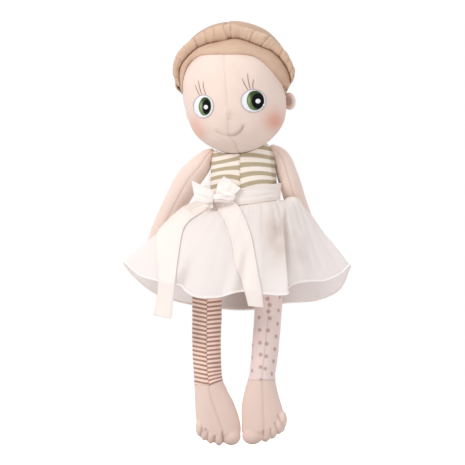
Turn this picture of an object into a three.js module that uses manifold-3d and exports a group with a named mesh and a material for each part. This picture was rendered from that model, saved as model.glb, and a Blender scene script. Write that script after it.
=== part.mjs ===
// A soft rag doll, 350 mm tall, standing upright as a doll stand's ring or a hand holds it.
// Millimetres, +Z up. The doll faces -Y, and +X is on the right as the doll is seen from the front.
// Every limb is a bag: two skin halves sewn along a lengthwise seam, round one stuffing.

import * as THREE from 'three';
import { mergeVertices } from 'three/addons/utils/BufferGeometryUtils.js';
import Module from 'manifold-3d';

const wasm = await Module();
wasm.setup();

// Driving dimensions
const SKIN = 1.0;
const GAP = 0.3;
const CLOTH = 1.0;
const BIG = 1200;
// Moves the model so that the frame's origin is under the middle of its box, at the lowest toe
const FRAME_SHIFT = [4, 4.05, -0.5];

// Head, in its own frame: centre of the face ball, which is tilted and turned on the neck
const HEAD_CENTRE = [-5.8, -6, 288.2];
const HEAD_TILT = 6.3;
const HEAD_TURN = -8;
const FACE_RADII = [41.8, 42.5, 48];
const HAIR_CENTRE = [0.5, 5, 14];
const HAIR_RADII = [48.5, 45.5, 47.5];
const HAIRLINE = { halfWidth: 42.5, base: 4, top: 33.5 };
const BAND = 11.5;
const ROLL = { halfWidth: 46, base: 6, rise: 45, y: -4, lean: -13, radius: 5.8 };
const EAR_LINE = 4;

// Trunk
const NECK = { x: -1, y: 3, pivot: 238, radius: 11 };
const WAIST_TILT = 8;
const WAIST_Z = 199;
const TORSO_BOTTOM = 183.95;
const TORSO_TOP = 244;
// Hollow in the top of the trunk that the head nods and turns in
const CRADLE = { centre: [-2, -4, 288.5], radii: [47, 52, 52.5] };
const SEAM_X = -0.8;
const SEAT = { x: -2.5, z: 165, radius: 18.6, halfWidth: 36 };

// Limbs
const SHOULDER_Z = 234.9;
const HIP_Z = 134.7;
const LEG_RADIUS = 11.4;
const LEG_TOP = 11.6;

const SKIN_COLOUR = 0xf3ddcf;
const HAIR_COLOUR = 0xd7b7a3;
const IVORY = 0xf6ece7;
const GAUZE = 0xf4ede8;
const STUFFING = 0xf4f1ea;

const rad = THREE.MathUtils.degToRad;
const doll = new THREE.Group();
doll.position.set(...FRAME_SHIFT);

// Solids

function manifoldOf(geometry) {
  const bare = geometry.clone();
  bare.deleteAttribute('normal');
  bare.deleteAttribute('uv');
  const merged = mergeVertices(bare, 1e-4);
  return new wasm.Manifold(new wasm.Mesh({
    numProp: 3,
    vertProperties: new Float32Array(merged.attributes.position.array),
    triVerts: new Uint32Array(merged.index.array),
  }));
}

function geometryOf(solid) {
  const mesh = solid.getMesh();
  const geometry = new THREE.BufferGeometry();
  geometry.setAttribute('position', new THREE.BufferAttribute(mesh.vertProperties, 3));
  geometry.setIndex(new THREE.BufferAttribute(mesh.triVerts, 1));
  geometry.computeVertexNormals();
  return geometry;
}

// The largest body of a cut solid: the slivers that a cut leaves are dropped
const largest = (solid) => solid.decompose().reduce((a, b) => (a.volume() > b.volume() ? a : b));

function put(parent, name, solid, colour, roughness = 0.9) {
  const geometry = solid.isBufferGeometry ? solid : geometryOf(largest(solid));
  const material = new THREE.MeshStandardMaterial({ color: colour, roughness, metalness: 0 });
  const mesh = new THREE.Mesh(geometry, material);
  mesh.name = name;
  parent.add(mesh);
  return mesh;
}

function ball(centre, radii, across = 20, up = 12) {
  const geometry = new THREE.SphereGeometry(1, across, up);
  geometry.rotateX(Math.PI / 2);
  geometry.scale(...radii);
  geometry.translate(...centre);
  return manifoldOf(geometry);
}

// A block that fills the side of a plane towards which the normal points
function halfSpace(point, normal) {
  const block = new THREE.BoxGeometry(BIG, BIG, BIG);
  block.translate(0, 0, BIG / 2);
  const turn = new THREE.Quaternion().setFromUnitVectors(
    new THREE.Vector3(0, 0, 1),
    new THREE.Vector3(...normal).normalize(),
  );
  block.applyQuaternion(turn);
  block.translate(...point);
  return manifoldOf(block);
}

// The two sides of a solid, with half the gap taken off each at the plane
function split(solid, point, normal) {
  const side = new THREE.Vector3(...normal).normalize();
  const at = new THREE.Vector3(...point);
  const ahead = at.clone().addScaledVector(side, GAP / 2);
  const behind = at.clone().addScaledVector(side, -GAP / 2);
  return [
    solid.intersect(halfSpace(ahead.toArray(), side.toArray())),
    solid.intersect(halfSpace(behind.toArray(), side.clone().negate().toArray())),
  ];
}

// Closed mesh from rings that all have the same number of points
function skinRings(rings) {
  const count = rings[0].length;
  const positions = [];
  const index = [];
  for (const ring of rings) for (const p of ring) positions.push(p.x, p.y, p.z);
  for (let r = 0; r + 1 < rings.length; r += 1) {
    for (let i = 0; i < count; i += 1) {
      const a = r * count + i;
      const b = r * count + (i + 1) % count;
      index.push(a, b, b + count, a, b + count, a + count);
    }
  }
  const ends = [[0, true], [rings.length - 1, false]];
  for (const [row, first] of ends) {
    const middle = new THREE.Vector3();
    for (const p of rings[row]) middle.addScaledVector(p, 1 / count);
    const centre = positions.length / 3;
    positions.push(middle.x, middle.y, middle.z);
    for (let i = 0; i < count; i += 1) {
      const a = row * count + i;
      const b = row * count + (i + 1) % count;
      index.push(...(first ? [centre, b, a] : [centre, a, b]));
    }
  }
  const geometry = new THREE.BufferGeometry();
  geometry.setAttribute('position', new THREE.Float32BufferAttribute(positions, 3));
  geometry.setIndex(index);
  return geometry;
}

// A stuffed bag along a path in the XZ plane that may lean in Y.
// Stations hold x, y, z, half-width and half-depth, and both ends are domes.
function bag({ stations, startDome, endDome, sides = 16 }, inset = 0) {
  const axis = new THREE.CatmullRomCurve3(stations.map(([x, y, z]) => new THREE.Vector3(x, y, z)));
  const rings = [];
  const steps = stations.length - 1;
  const ring = (centre, tangent, a, b) => {
    const out = new THREE.Vector3(0, 1, 0);
    const across = new THREE.Vector3().crossVectors(out, tangent).normalize();
    out.crossVectors(tangent, across).normalize();
    return Array.from({ length: sides }, (_, i) => {
      const t = (2 * Math.PI * i) / sides;
      return centre.clone()
        .addScaledVector(across, (a - inset) * Math.cos(t))
        .addScaledVector(out, (b - inset) * Math.sin(t));
    });
  };
  const domeAngles = [14, 50];
  const dome = (row, length, sign, angles) => {
    const [, , , a, b] = stations[row];
    const tangent = axis.getTangent(row / steps);
    for (const angle of angles) {
      const reach = (length - inset) * Math.cos(rad(angle)) * sign;
      const width = Math.sin(rad(angle));
      const centre = axis.getPoint(row / steps).addScaledVector(tangent, reach);
      rings.push(ring(centre, tangent, inset + (a - inset) * width, inset + (b - inset) * width));
    }
  };
  dome(0, startDome, -1, domeAngles);
  stations.forEach(([, , , a, b], row) => {
    rings.push(ring(axis.getPoint(row / steps), axis.getTangent(row / steps), a, b));
  });
  dome(steps, endDome, 1, [...domeAngles].reverse());
  return manifoldOf(skinRings(rings));
}

// Skin and stuffing of a bag: toes and fingers are stitched solid, and are joined to the outside
function stuffed(spec, extras = []) {
  const outside = extras.reduce((sum, part) => sum.add(part), bag(spec));
  return { skin: outside.subtract(bag(spec, SKIN)), stuffing: bag(spec, SKIN + GAP) };
}

// Head

const head = new THREE.Group();
head.position.set(...HEAD_CENTRE);
head.rotation.order = 'YZX';
head.rotation.y = -rad(HEAD_TILT);
head.rotation.z = rad(HEAD_TURN);
doll.add(head);

const faceBall = (grow) => ball([0, 0, 0], FACE_RADII.map((r) => r + grow), 24, 14);

// Arch seen from the front, grown outwards, as a prism that runs forward from the ear line
function archPrism(grow, earLine) {
  const { halfWidth, base, top } = HAIRLINE;
  const shape = new THREE.Shape();
  const floor = -60;
  const half = halfWidth + 8 + grow;
  shape.moveTo(-half, floor);
  shape.lineTo(half, floor);
  shape.lineTo(half, base - 6);
  for (let i = 0; i <= 16; i += 1) {
    const t = (Math.PI * i) / 16;
    const x = (halfWidth + grow) * Math.sign(Math.cos(t)) * Math.abs(Math.cos(t)) ** 0.8;
    shape.lineTo(x, base + (top - base + grow) * Math.sin(t) ** 0.9);
  }
  shape.lineTo(-half, base - 6);
  const prism = new THREE.ExtrudeGeometry(shape, { depth: 100, bevelEnabled: false });
  prism.rotateX(Math.PI / 2);
  prism.translate(0, earLine, 0);
  return manifoldOf(prism);
}

const headSkin = faceBall(0).subtract(faceBall(-SKIN));
const faceArea = archPrism(0, EAR_LINE);
const face = headSkin.intersect(faceArea);
const [faceRight, faceLeft] = split(face, [0, 0, 0], [1, 0, 0]);
put(head, 'face_panel_right', faceRight, SKIN_COLOUR);
put(head, 'face_panel_left', faceLeft, SKIN_COLOUR);
put(head, 'head_back_panel', headSkin.subtract(archPrism(GAP, EAR_LINE + GAP)), SKIN_COLOUR);
put(head, 'head_stuffing', faceBall(-SKIN - GAP), STUFFING);

const hairBall = ball(HAIR_CENTRE, HAIR_RADII, 24, 14);
const bandArea = archPrism(BAND, EAR_LINE).subtract(archPrism(GAP, EAR_LINE + 1));
const bandShell = faceBall(GAP + 1.6).subtract(faceBall(GAP));
put(head, 'hair_band', bandShell.intersect(bandArea), HAIR_COLOUR);

// Closed tube along the arch of the hairline: the gathered front roll of the hair
function rollPoint(t) {
  const { halfWidth, base, rise, y, lean } = ROLL;
  return new THREE.Vector3(
    halfWidth * Math.cos(t),
    y + lean * Math.sin(t),
    base + rise * Math.max(0, Math.sin(t)) ** 0.9,
  );
}

function rollSpec(from, to, radius) {
  const stations = [];
  for (let i = 0; i <= 8; i += 1) {
    const p = rollPoint(rad(from + ((to - from) * i) / 8));
    const pucker = i % 2 ? 0.3 : -0.3;
    stations.push([p.x, p.y, p.z, radius + pucker, radius + pucker]);
  }
  return { stations, startDome: 2.5, endDome: 2.5, sides: 10 };
}

const seamAngle = 96;
const lobeAngle = 42;
const rolls = {
  hair_roll_left: rollSpec(178, seamAngle + 2.5, ROLL.radius),
  hair_roll_middle: rollSpec(seamAngle - 4.5, lobeAngle + 3, ROLL.radius),
  hair_roll_right: rollSpec(lobeAngle - 5.5, 4, ROLL.radius - 0.4),
};
const underRolls = faceBall(GAP + 1.6 + GAP);
const ears = {
  ear_right: { centre: [43.6, 7, -11], radii: [5.6, 3.6, 8] },
  ear_left: { centre: [-38.6, 17, -11], radii: [5.2, 4, 8] },
};
const earBall = ({ centre, radii }, grow = 0) => ball(centre, radii.map((r) => r + grow), 12, 8);
const rollSpace = Object.values(rolls).map((spec) => bag(spec, -GAP - 0.1)).reduce((a, b) => a.add(b));
const hairEdge = halfSpace([0, -6, -4], [0, 0.93, 0.5]);
const hairSolid = hairBall.subtract(faceBall(GAP)).intersect(hairEdge)
  .subtract(archPrism(BAND + GAP, EAR_LINE + GAP))
  .subtract(rollSpace)
  .subtract(earBall(ears.ear_right, GAP))
  .subtract(earBall(ears.ear_left, GAP));
const [capRight, capLeft] = split(hairSolid, [0.5, 0, 0], [1, 0, 0]);
put(head, 'hair_cap_right', capRight, HAIR_COLOUR);
put(head, 'hair_cap_left', capLeft, HAIR_COLOUR);
for (const [name, roll] of Object.entries(rolls)) {
  put(head, name, bag(roll).subtract(underRolls), HAIR_COLOUR);
}
for (const [name, ear] of Object.entries(ears)) {
  put(head, name, earBall(ear).subtract(faceBall(GAP)), SKIN_COLOUR);
}

// Embroidered eyes: thin patches of satin stitch that lie on the face
function eyePatch(x, z, halfWidth, halfHeight) {
  const outline = new THREE.Shape();
  outline.absellipse(x, z, halfWidth, halfHeight, 0, 2 * Math.PI, false, 0);
  const prism = new THREE.ExtrudeGeometry(outline, { depth: 60, bevelEnabled: false, curveSegments: 10 });
  prism.rotateX(Math.PI / 2);
  return faceBall(GAP + 0.8).subtract(faceBall(GAP)).intersect(manifoldOf(prism));
}
put(head, 'eye_embroidery_right', eyePatch(16.6, -5.6, 10.6, 9.8), 0xffffff, 0.6);
put(head, 'eye_embroidery_left', eyePatch(-26.2, -5.2, 8.2, 9.4), 0xffffff, 0.6);

// Neck: a short stuffed tube between the trunk and the head, with the head's ball cut out of it
const neck = bag({
  stations: [
    [NECK.x, NECK.y, NECK.pivot, NECK.radius, NECK.radius],
    [NECK.x, NECK.y, NECK.pivot + 4, NECK.radius, NECK.radius],
    [NECK.x, NECK.y, NECK.pivot + 9, NECK.radius - 0.5, NECK.radius - 0.5],
  ],
  startDome: NECK.radius,
  endDome: 2,
});
const headClearance = new THREE.SphereGeometry(1, 24, 14);
headClearance.rotateX(Math.PI / 2);
headClearance.scale(FACE_RADII[1] + GAP, FACE_RADII[1] + GAP, FACE_RADII[2] + GAP);
head.updateMatrix();
headClearance.applyMatrix4(head.matrix);
put(doll, 'neck', neck.subtract(manifoldOf(headClearance)), SKIN_COLOUR);

// Trunk: a striped bodice over the upper bag, and the seat under it

const torso = stuffed({
  stations: [
    [2, 0, TORSO_BOTTOM + 3, 26.6, 18.6],
    [2, 0, 200, 27, 19.2],
    [2.1, 0, 212, 27.4, 19.6],
    [1.7, 0, 224, 26.8, 18],
    [1.3, 0, 235, 26.2, 14.6],
    [1, 0, TORSO_TOP - 2.4, 22.5, 11.5],
  ],
  startDome: 3,
  endDome: 2.4,
  sides: 20,
});
const cradle = ball(CRADLE.centre, CRADLE.radii, 24, 14);
const wellRadius = NECK.radius + 1;
const neckWell = ball([NECK.x, NECK.y, NECK.pivot], [wellRadius, wellRadius, wellRadius], 16, 10);
const bodice = torso.skin.subtract(cradle).subtract(neckWell);
const [bodiceBack, bodiceFront] = split(bodice, [0, 1.5, 0], [0, 1, 0]);
const [frontRight, frontLeft] = split(bodiceFront, [SEAM_X, 0, 0], [1, 0, 0]);
put(doll, 'bodice_front_right', frontRight, 0xe9dfc9);
put(doll, 'bodice_front_left', frontLeft, 0xe9dfc9);
put(doll, 'bodice_back', bodiceBack, 0xe9dfc9);
put(doll, 'torso_stuffing', torso.stuffing.subtract(cradle).subtract(neckWell), STUFFING);

const seatSpec = {
  stations: [-1, 1].map((s) => [
    SEAT.x + s * (SEAT.halfWidth - 8), 0, SEAT.z, SEAT.radius, SEAT.radius,
  ]),
  startDome: 8,
  endDome: 8,
  sides: 20,
};
const seat = stuffed(seatSpec);
const [seatBack, seatFront] = split(seat.skin, [0, 0, 0], [0, 1, 0]);
put(doll, 'seat_panel_front', seatFront, SKIN_COLOUR);
put(doll, 'seat_panel_back', seatBack, SKIN_COLOUR);
put(doll, 'seat_stuffing', seat.stuffing, STUFFING);

// Arms: the hands lie behind the skirt

function fingers([x, y, z], direction) {
  const three = [-1, 0, 1].map((i) => ball(
    [x + i * 4.6 * direction, y, z + Math.abs(i) * 1.5], [3.2, 5.4, 7], 8, 6,
  ));
  const thumb = ball([x - 8.6 * direction, y - 1, z + 12], [3.4, 4.6, 8], 8, 6);
  return [...three, thumb];
}

const arms = {
  left: {
    stations: [
      [-33.3, 2, SHOULDER_Z, 8.8, 8.4],
      [-44.4, 7, 219.5, 9, 8.2],
      [-54.4, 15, 202, 8.8, 7.8],
      [-62.4, 24, 184, 8.4, 7.4],
      [-69, 31, 166, 8, 6.8],
      [-72.6, 33, 156, 9.4, 6.2],
    ],
    startDome: 8.7,
    endDome: 6,
    sides: 10,
  },
  right: {
    stations: [
      [36.7, 2, SHOULDER_Z, 8.8, 8.4],
      [40.6, 7, 218.5, 9, 8.2],
      [45.6, 15, 201, 8.8, 7.8],
      [51, 24, 184, 8.4, 7.4],
      [56, 31, 166, 8, 6.8],
      [58.8, 33, 156, 9.4, 6.2],
    ],
    startDome: 8.7,
    endDome: 6,
    sides: 10,
  },
};
for (const [side, spec] of Object.entries(arms)) {
  const [shoulder] = spec.stations;
  const palm = spec.stations.at(-1);
  const sign = side === 'left' ? -1 : 1;
  const { skin, stuffing } = stuffed(spec, fingers([palm[0] + sign * 1.5, palm[1], palm[2] - 7], sign));
  const along = new THREE.Vector3(palm[0] - shoulder[0], palm[1] - shoulder[1], palm[2] - shoulder[2]);
  const across = new THREE.Vector3(0, 1, 0).cross(along).normalize().multiplyScalar(sign * -1);
  const [outer, inner] = split(skin, shoulder.slice(0, 3), across.toArray());
  put(doll, `arm_${side}_outer_skin`, outer, SKIN_COLOUR);
  put(doll, `arm_${side}_inner_skin`, inner, SKIN_COLOUR);
  put(doll, `arm_${side}_stuffing`, stuffing, STUFFING);
}

// Legs: a patterned tube down to the ankle, then a skin foot that points down and ends in toes

function toes(list) {
  return list.map(([x, y, z, half]) => ball([x, y, z], [half, 6.6, 7.5], 8, 6));
}

const legs = {
  left: {
    colour: 0xc9a397,
    ankle: 50,
    stations: [
      [-28.2, 0, HIP_Z, 12.6, LEG_RADIUS],
      [-28.4, 0, 110, 12.5, 11],
      [-28.8, 0, 80, 12, 10.6],
      [-27.6, 0, 56, 12, 10.2],
      [-24.6, 0, 43, 14.6, 10],
      [-21.4, 0, 30, 17.4, 9.6],
      [-19.4, 0, 17, 18.4, 8.8],
      [-18.6, 0, 10.5, 18, 8],
    ],
    toes: [
      [-8.6, -1, 8.1, 7.6], [-18.2, -1, 8, 4.3], [-25, -1, 9.6, 3.9],
      [-30.2, -1, 12.2, 3.7], [-34, -1, 15.6, 3.6],
    ],
  },
  right: {
    colour: 0xd8c3bd,
    ankle: 55,
    stations: [
      [22.6, 0, HIP_Z, 12, LEG_RADIUS],
      [21.8, 0, 110, 11.6, 11],
      [19.4, 0, 80, 11.4, 10.6],
      [17.2, 0, 58, 11.2, 10.2],
      [16.6, 0, 44, 14.4, 10],
      [17.2, 0, 31, 16.4, 9.6],
      [18.8, 0, 19, 17.8, 8.8],
      [19.2, 0, 13, 17.6, 8],
    ],
    toes: [
      [9.6, -1, 9.6, 8.4], [20.2, -1, 11, 4.5], [26, -1, 13.6, 3.9],
      [31, -1, 17.4, 3.8], [34.4, -1, 22, 3.6],
    ],
  },
};
for (const [side, leg] of Object.entries(legs)) {
  const spec = { stations: leg.stations, startDome: LEG_TOP, endDome: 4, sides: 12 };
  const { skin, stuffing } = stuffed(spec, toes(leg.toes));
  const [hip] = leg.stations;
  const toe = leg.stations.at(-1);
  const ankle = [leg.stations[3][0], 0, leg.ankle];
  const [tube, foot] = split(skin, ankle, [0, 0, 1]);
  const across = (from, to) => new THREE.Vector3(to[0] - from[0], 0, to[2] - from[2])
    .cross(new THREE.Vector3(0, 1, 0)).normalize().toArray();
  const [tubeRight, tubeLeft] = split(tube, ankle, across(hip, leg.stations[3]));
  const [footRight, footLeft] = split(foot, ankle, across(leg.stations[3], toe));
  put(doll, `leg_${side}_tube_right_half`, tubeRight, leg.colour);
  put(doll, `leg_${side}_tube_left_half`, tubeLeft, leg.colour);
  put(doll, `foot_${side}_right_half`, footRight, SKIN_COLOUR);
  put(doll, `foot_${side}_left_half`, footLeft, SKIN_COLOUR);
  put(doll, `leg_${side}_stuffing`, stuffing, STUFFING);
}

// Skirt: one gauze cloth that hangs from the sash, flat and wide at the sides

const hem = new THREE.CatmullRomCurve3([
  [-96.5, -2, 151.5], [-84, -18, 141], [-66, -30, 136], [-52, -38, 133], [-38, -46, 124],
  [-20, -49, 123], [0, -50, 128], [18, -51, 126], [34, -50, 125.5], [44, -42, 128],
  [54, -34, 134], [70, -24, 136.5], [82, -13, 142], [88.5, -1, 148.5], [82, 8, 130],
  [62, 18, 120.5], [36, 23.5, 118], [6, 25, 112.5], [-24, 25, 114.5], [-52, 22, 119.5],
  [-74, 14, 128], [-90, 5, 143],
].map((p) => new THREE.Vector3(...p)), true);
const WAIST_RING = { x: 3, halfWidth: 29.8, halfDepth: 21.8, below: 0.5 };

// Point of the skirt: around runs from 0 to 1 from the left side past the front, down from 0 to 1
function skirtPoint(around, down) {
  const low = hem.getPoint(around);
  const angle = Math.PI * (1 + 2 * around);
  const waistX = WAIST_RING.halfWidth * Math.cos(angle);
  const top = new THREE.Vector3(
    WAIST_RING.x + waistX,
    WAIST_RING.halfDepth * Math.sin(angle),
    WAIST_Z - WAIST_RING.below + Math.tan(rad(WAIST_TILT)) * waistX,
  );
  const spread = down ** 0.72;
  const drop = down ** 1.12;
  return new THREE.Vector3(
    top.x + (low.x - top.x) * spread,
    top.y + (low.y - top.y) * spread,
    top.z + (low.z - top.z) * drop,
  );
}

function skirtNormal(around, down) {
  const e = 0.004;
  const along = skirtPoint((around + e) % 1, down).sub(skirtPoint((around - e + 1) % 1, down));
  const lower = skirtPoint(around, Math.min(1, down + e)).sub(skirtPoint(around, Math.max(0, down - e)));
  return lower.cross(along).normalize();
}

function skirtGeometry(columns = 66, rows = 5) {
  const positions = [];
  const index = [];
  for (const layer of [0, -CLOTH]) {
    for (let r = 0; r <= rows; r += 1) {
      for (let c = 0; c < columns; c += 1) {
        const p = skirtPoint(c / columns, r / rows);
        p.addScaledVector(skirtNormal(c / columns, r / rows), layer);
        positions.push(p.x, p.y, p.z);
      }
    }
  }
  const inner = (rows + 1) * columns;
  for (let c = 0; c < columns; c += 1) {
    const n = (c + 1) % columns;
    for (let r = 0; r < rows; r += 1) {
      const [a, b] = [r * columns + c, r * columns + n];
      const [d, e] = [a + columns, b + columns];
      index.push(a, d, e, a, e, b);
      index.push(inner + a, inner + e, inner + d, inner + a, inner + b, inner + e);
    }
    const low = rows * columns;
    index.push(c, n, inner + n, c, inner + n, inner + c);
    index.push(low + c, inner + low + n, low + n, low + c, inner + low + c, inner + low + n);
  }
  const geometry = new THREE.BufferGeometry();
  geometry.setAttribute('position', new THREE.Float32BufferAttribute(positions, 3));
  geometry.setIndex(index);
  return geometry;
}
put(doll, 'skirt', skirtGeometry(), GAUZE);

// Sash: a flat band round the waist, tied in a bow left of the middle

function bandRing(halfWidth, halfDepth, low, high) {
  const shape = new THREE.Shape();
  shape.absellipse(0, 0, halfWidth, halfDepth, 0, 2 * Math.PI, false, 0);
  const depth = high - low;
  const ring = new THREE.ExtrudeGeometry(shape, { depth, bevelEnabled: false, curveSegments: 16 });
  ring.translate(0, 0, low);
  return manifoldOf(ring);
}
const SASH_HEIGHT = 13.5;
const SASH_X = 3.2;
const sash = new THREE.Group();
sash.position.set(SASH_X, 0, WAIST_Z);
sash.rotation.y = -rad(WAIST_TILT);
doll.add(sash);
const sashBand = bandRing(30.2, 22.1, 0, SASH_HEIGHT).subtract(bandRing(29, 20.9, -1, SASH_HEIGHT + 1));
put(sash, 'sash_band', sashBand, IVORY);

// A flat ribbon through points: at each, its face looks along the given direction
function ribbon(points, width, facings = points.map(() => [0, -1, 0]), thickness = CLOTH) {
  const path = new THREE.CatmullRomCurve3(points.map((p) => new THREE.Vector3(...p)));
  const facing = new THREE.CatmullRomCurve3(facings.map((f) => new THREE.Vector3(...f)));
  const steps = 3 * (points.length - 1);
  const rings = [];
  for (let i = 0; i <= steps; i += 1) {
    const centre = path.getPoint(i / steps);
    const tangent = path.getTangent(i / steps);
    const across = facing.getPoint(i / steps).cross(tangent).normalize();
    const face = new THREE.Vector3().crossVectors(tangent, across).normalize();
    rings.push([[1, 1], [-1, 1], [-1, -1], [1, -1]].map(([s, f]) => centre.clone()
      .addScaledVector(across, (s * width) / 2)
      .addScaledVector(face, (f * thickness) / 2)));
  }
  return manifoldOf(skinRings(rings));
}
const KNOT = { centre: [-13.6, -24, 206], radii: [7.4, 3.4, 5] };
const [, knotY] = KNOT.centre;
put(doll, 'bow_knot', ball(KNOT.centre, KNOT.radii, 12, 8), IVORY);
put(doll, 'bow_loop_left', ribbon(
  [[-21.8, knotY, 207], [-28.5, -24.6, 210], [-34, -24.4, 213.5], [-37, -24, 217]], 12), IVORY);
put(doll, 'bow_tip', ribbon([[-20.6, -22.7, 212.4], [-24.4, -22.7, 218], [-26.6, -22.7, 223.4]], 4.5), IVORY);

// The right loop is folded flat, two layers thick: its corners seen from the front, cut back from the knot
const LOOP_CORNERS = [[-14.2, 221.4], [-1, 212.4], [-5.6, 206.6], [-12, 206]];
const loopShape = new THREE.Shape(LOOP_CORNERS.map((corner) => new THREE.Vector2(...corner)));
const loopFold = new THREE.ExtrudeGeometry(loopShape, { depth: 2 * CLOTH, bevelEnabled: false });
loopFold.rotateX(Math.PI / 2);
loopFold.translate(0, knotY + CLOTH, 0);
const knotSpace = ball(KNOT.centre, KNOT.radii.map((r) => r + GAP), 12, 8);
put(doll, 'bow_loop_right', manifoldOf(loopFold).subtract(knotSpace), IVORY);

// A tail starts under the knot, lies on the skirt and hangs straight below the hem.
// Its places are a share of the way round the skirt and of the way down it.
function tail(start, places, width, clear = 1.3, hang = 80) {
  const points = [start];
  const facings = [[0, -1, 0]];
  for (const [around, down] of places) {
    const onSkirt = Math.min(1, down);
    const out = skirtNormal(around, onSkirt);
    const p = skirtPoint(around, onSkirt).addScaledVector(out, clear);
    p.z -= (down - onSkirt) * hang;
    points.push(p.toArray());
    facings.push(out.toArray());
  }
  return ribbon(points, width, facings);
}
const underKnot = KNOT.centre[2] - KNOT.radii[2] - 1.1;
put(doll, 'sash_tail_left', tail([-17.6, knotY + 1.6, underKnot], [
  [0.115, 0.16], [0.105, 0.42], [0.115, 0.66], [0.13, 0.9], [0.13, 1.16], [0.13, 1.36],
], 15, 2.2), IVORY);
put(doll, 'sash_tail_right', tail([-12.4, knotY, underKnot], [
  [0.205, 0.3], [0.235, 0.52], [0.262, 0.78], [0.278, 1.05], [0.28, 1.14],
], 13), IVORY);

export default doll;
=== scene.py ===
# %% [markdown]
# # A soft rag doll in a gauze skirt
# The doll is a set of sewn bags of cloth with stuffing inside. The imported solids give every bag's
# place and joint, and this file sews the cloth over them: the face and its embroidery, the hair, the
# bodice, the limbs, the skirt and the sash. The first step loads those solids as a frame that never moves.

# %% Load the frame
from math import atan2, ceil, cos, exp, pi, radians, sin, sqrt, tan

import bmesh
import bpy
from mathutils import Matrix, Vector, noise
from mathutils.bvhtree import BVHTree
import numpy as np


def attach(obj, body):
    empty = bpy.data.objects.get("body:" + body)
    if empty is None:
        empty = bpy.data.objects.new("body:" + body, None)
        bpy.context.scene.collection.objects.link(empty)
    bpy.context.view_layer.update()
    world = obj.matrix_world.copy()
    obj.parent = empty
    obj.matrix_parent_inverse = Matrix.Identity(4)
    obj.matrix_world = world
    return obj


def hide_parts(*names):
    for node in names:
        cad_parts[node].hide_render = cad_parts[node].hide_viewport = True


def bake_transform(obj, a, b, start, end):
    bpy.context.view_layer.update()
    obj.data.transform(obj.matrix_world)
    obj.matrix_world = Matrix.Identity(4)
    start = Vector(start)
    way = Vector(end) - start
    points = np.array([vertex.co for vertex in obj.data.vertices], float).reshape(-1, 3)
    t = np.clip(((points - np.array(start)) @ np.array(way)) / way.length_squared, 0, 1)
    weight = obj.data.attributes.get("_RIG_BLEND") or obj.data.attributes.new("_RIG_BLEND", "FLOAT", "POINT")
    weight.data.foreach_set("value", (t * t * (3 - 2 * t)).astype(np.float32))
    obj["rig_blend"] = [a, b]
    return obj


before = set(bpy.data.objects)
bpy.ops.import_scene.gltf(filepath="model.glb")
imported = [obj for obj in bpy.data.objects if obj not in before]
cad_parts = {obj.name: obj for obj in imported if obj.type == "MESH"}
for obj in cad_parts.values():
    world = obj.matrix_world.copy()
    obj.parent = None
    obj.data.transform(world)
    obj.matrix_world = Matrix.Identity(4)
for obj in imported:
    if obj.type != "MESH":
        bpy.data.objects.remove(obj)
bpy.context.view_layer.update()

# %% [markdown]
# ## Measures
# A soft toy is easiest to draw in the photograph's own plane: x to the right, z up, in millimetres, with
# the doll's face towards -y. One matrix then takes every finished mesh to metres and to the frame's origin,
# so no object is ever moved by hand. The head has a second matrix, because it is tilted and turned.

# %% Measures
PIXEL = 0.822  # mm on the doll for one pixel of the photograph
PHOTO_SIZE = 465  # pixels, both ways
MIDDLE_COLUMN, GROUND_ROW = 241, 446.5  # the pixel at which x and z are 0
TO_FRAME = Matrix.Scale(0.001, 4) @ Matrix.Translation((4, 4.05, -0.5))
HEAD = (
    Matrix.Translation((-5.8, -6, 288.2))
    @ Matrix.Rotation(radians(-6.3), 4, "Y")
    @ Matrix.Rotation(radians(-8), 4, "Z")
)


def seen(px, py):
    """A pixel of the photograph as x and z in millimetres."""
    return (px - MIDDLE_COLUMN) * PIXEL, (GROUND_ROW - py) * PIXEL


def pixel(point):
    """The pixel of the photograph at which a point in millimetres is seen."""
    return point.x / PIXEL + MIDDLE_COLUMN, GROUND_ROW - point.z / PIXEL


def bell(distance, width):
    """1 where the distance is 0, fading softly to 0 at about twice the width."""
    return exp(-((distance / width) ** 2))


def between(value, pairs):
    """Reads a table of (input, output) pairs, with straight lines between them."""
    if value <= pairs[0][0]:
        return pairs[0][1]
    for (a, low), (b, high) in zip(pairs, pairs[1:]):
        if value <= b:
            return low + (high - low) * (value - a) / (b - a)
    return pairs[-1][1]


def smooth(t):
    """Runs from 0 to 1 with a soft start and end while t does."""
    t = min(1, max(0, t))
    return t * t * (3 - 2 * t)


print("one pixel is", PIXEL, "mm")

# %% [markdown]
# ## Camera
# The photograph shows the doll flat on, with hardly any perspective, so the camera stands far away with a
# very long lens. Its frame is 465 pixels of 0.822 mm, aimed at the middle of the photograph.

# %% Camera
CAMERA_DISTANCE = 8  # metres
middle_x, middle_z = seen(PHOTO_SIZE / 2, PHOTO_SIZE / 2)
aim = TO_FRAME @ Vector((middle_x, 0, middle_z))
camera_data = bpy.data.cameras.new("camera")
camera_data.lens = camera_data.sensor_width * CAMERA_DISTANCE / (PHOTO_SIZE * PIXEL / 1000)
camera_data.clip_end = 60
camera = bpy.data.objects.new("camera", camera_data)
camera.location = (aim.x, aim.y - CAMERA_DISTANCE, aim.z)
camera.rotation_euler = (radians(90), 0, 0)
bpy.context.scene.collection.objects.link(camera)
bpy.context.scene.camera = camera
bpy.context.scene.view_settings.view_transform = "Standard"
print("lens", round(camera_data.lens), "mm")

# %% [markdown]
# ## Light
# A studio picture on pure white has soft light from every side. The world gives that even light, and is
# drawn pure white behind the doll. One large lamp at the upper left makes the gentle shadows on the right
# of the face, legs and folds, and a weaker one at the right keeps them open.

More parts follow.
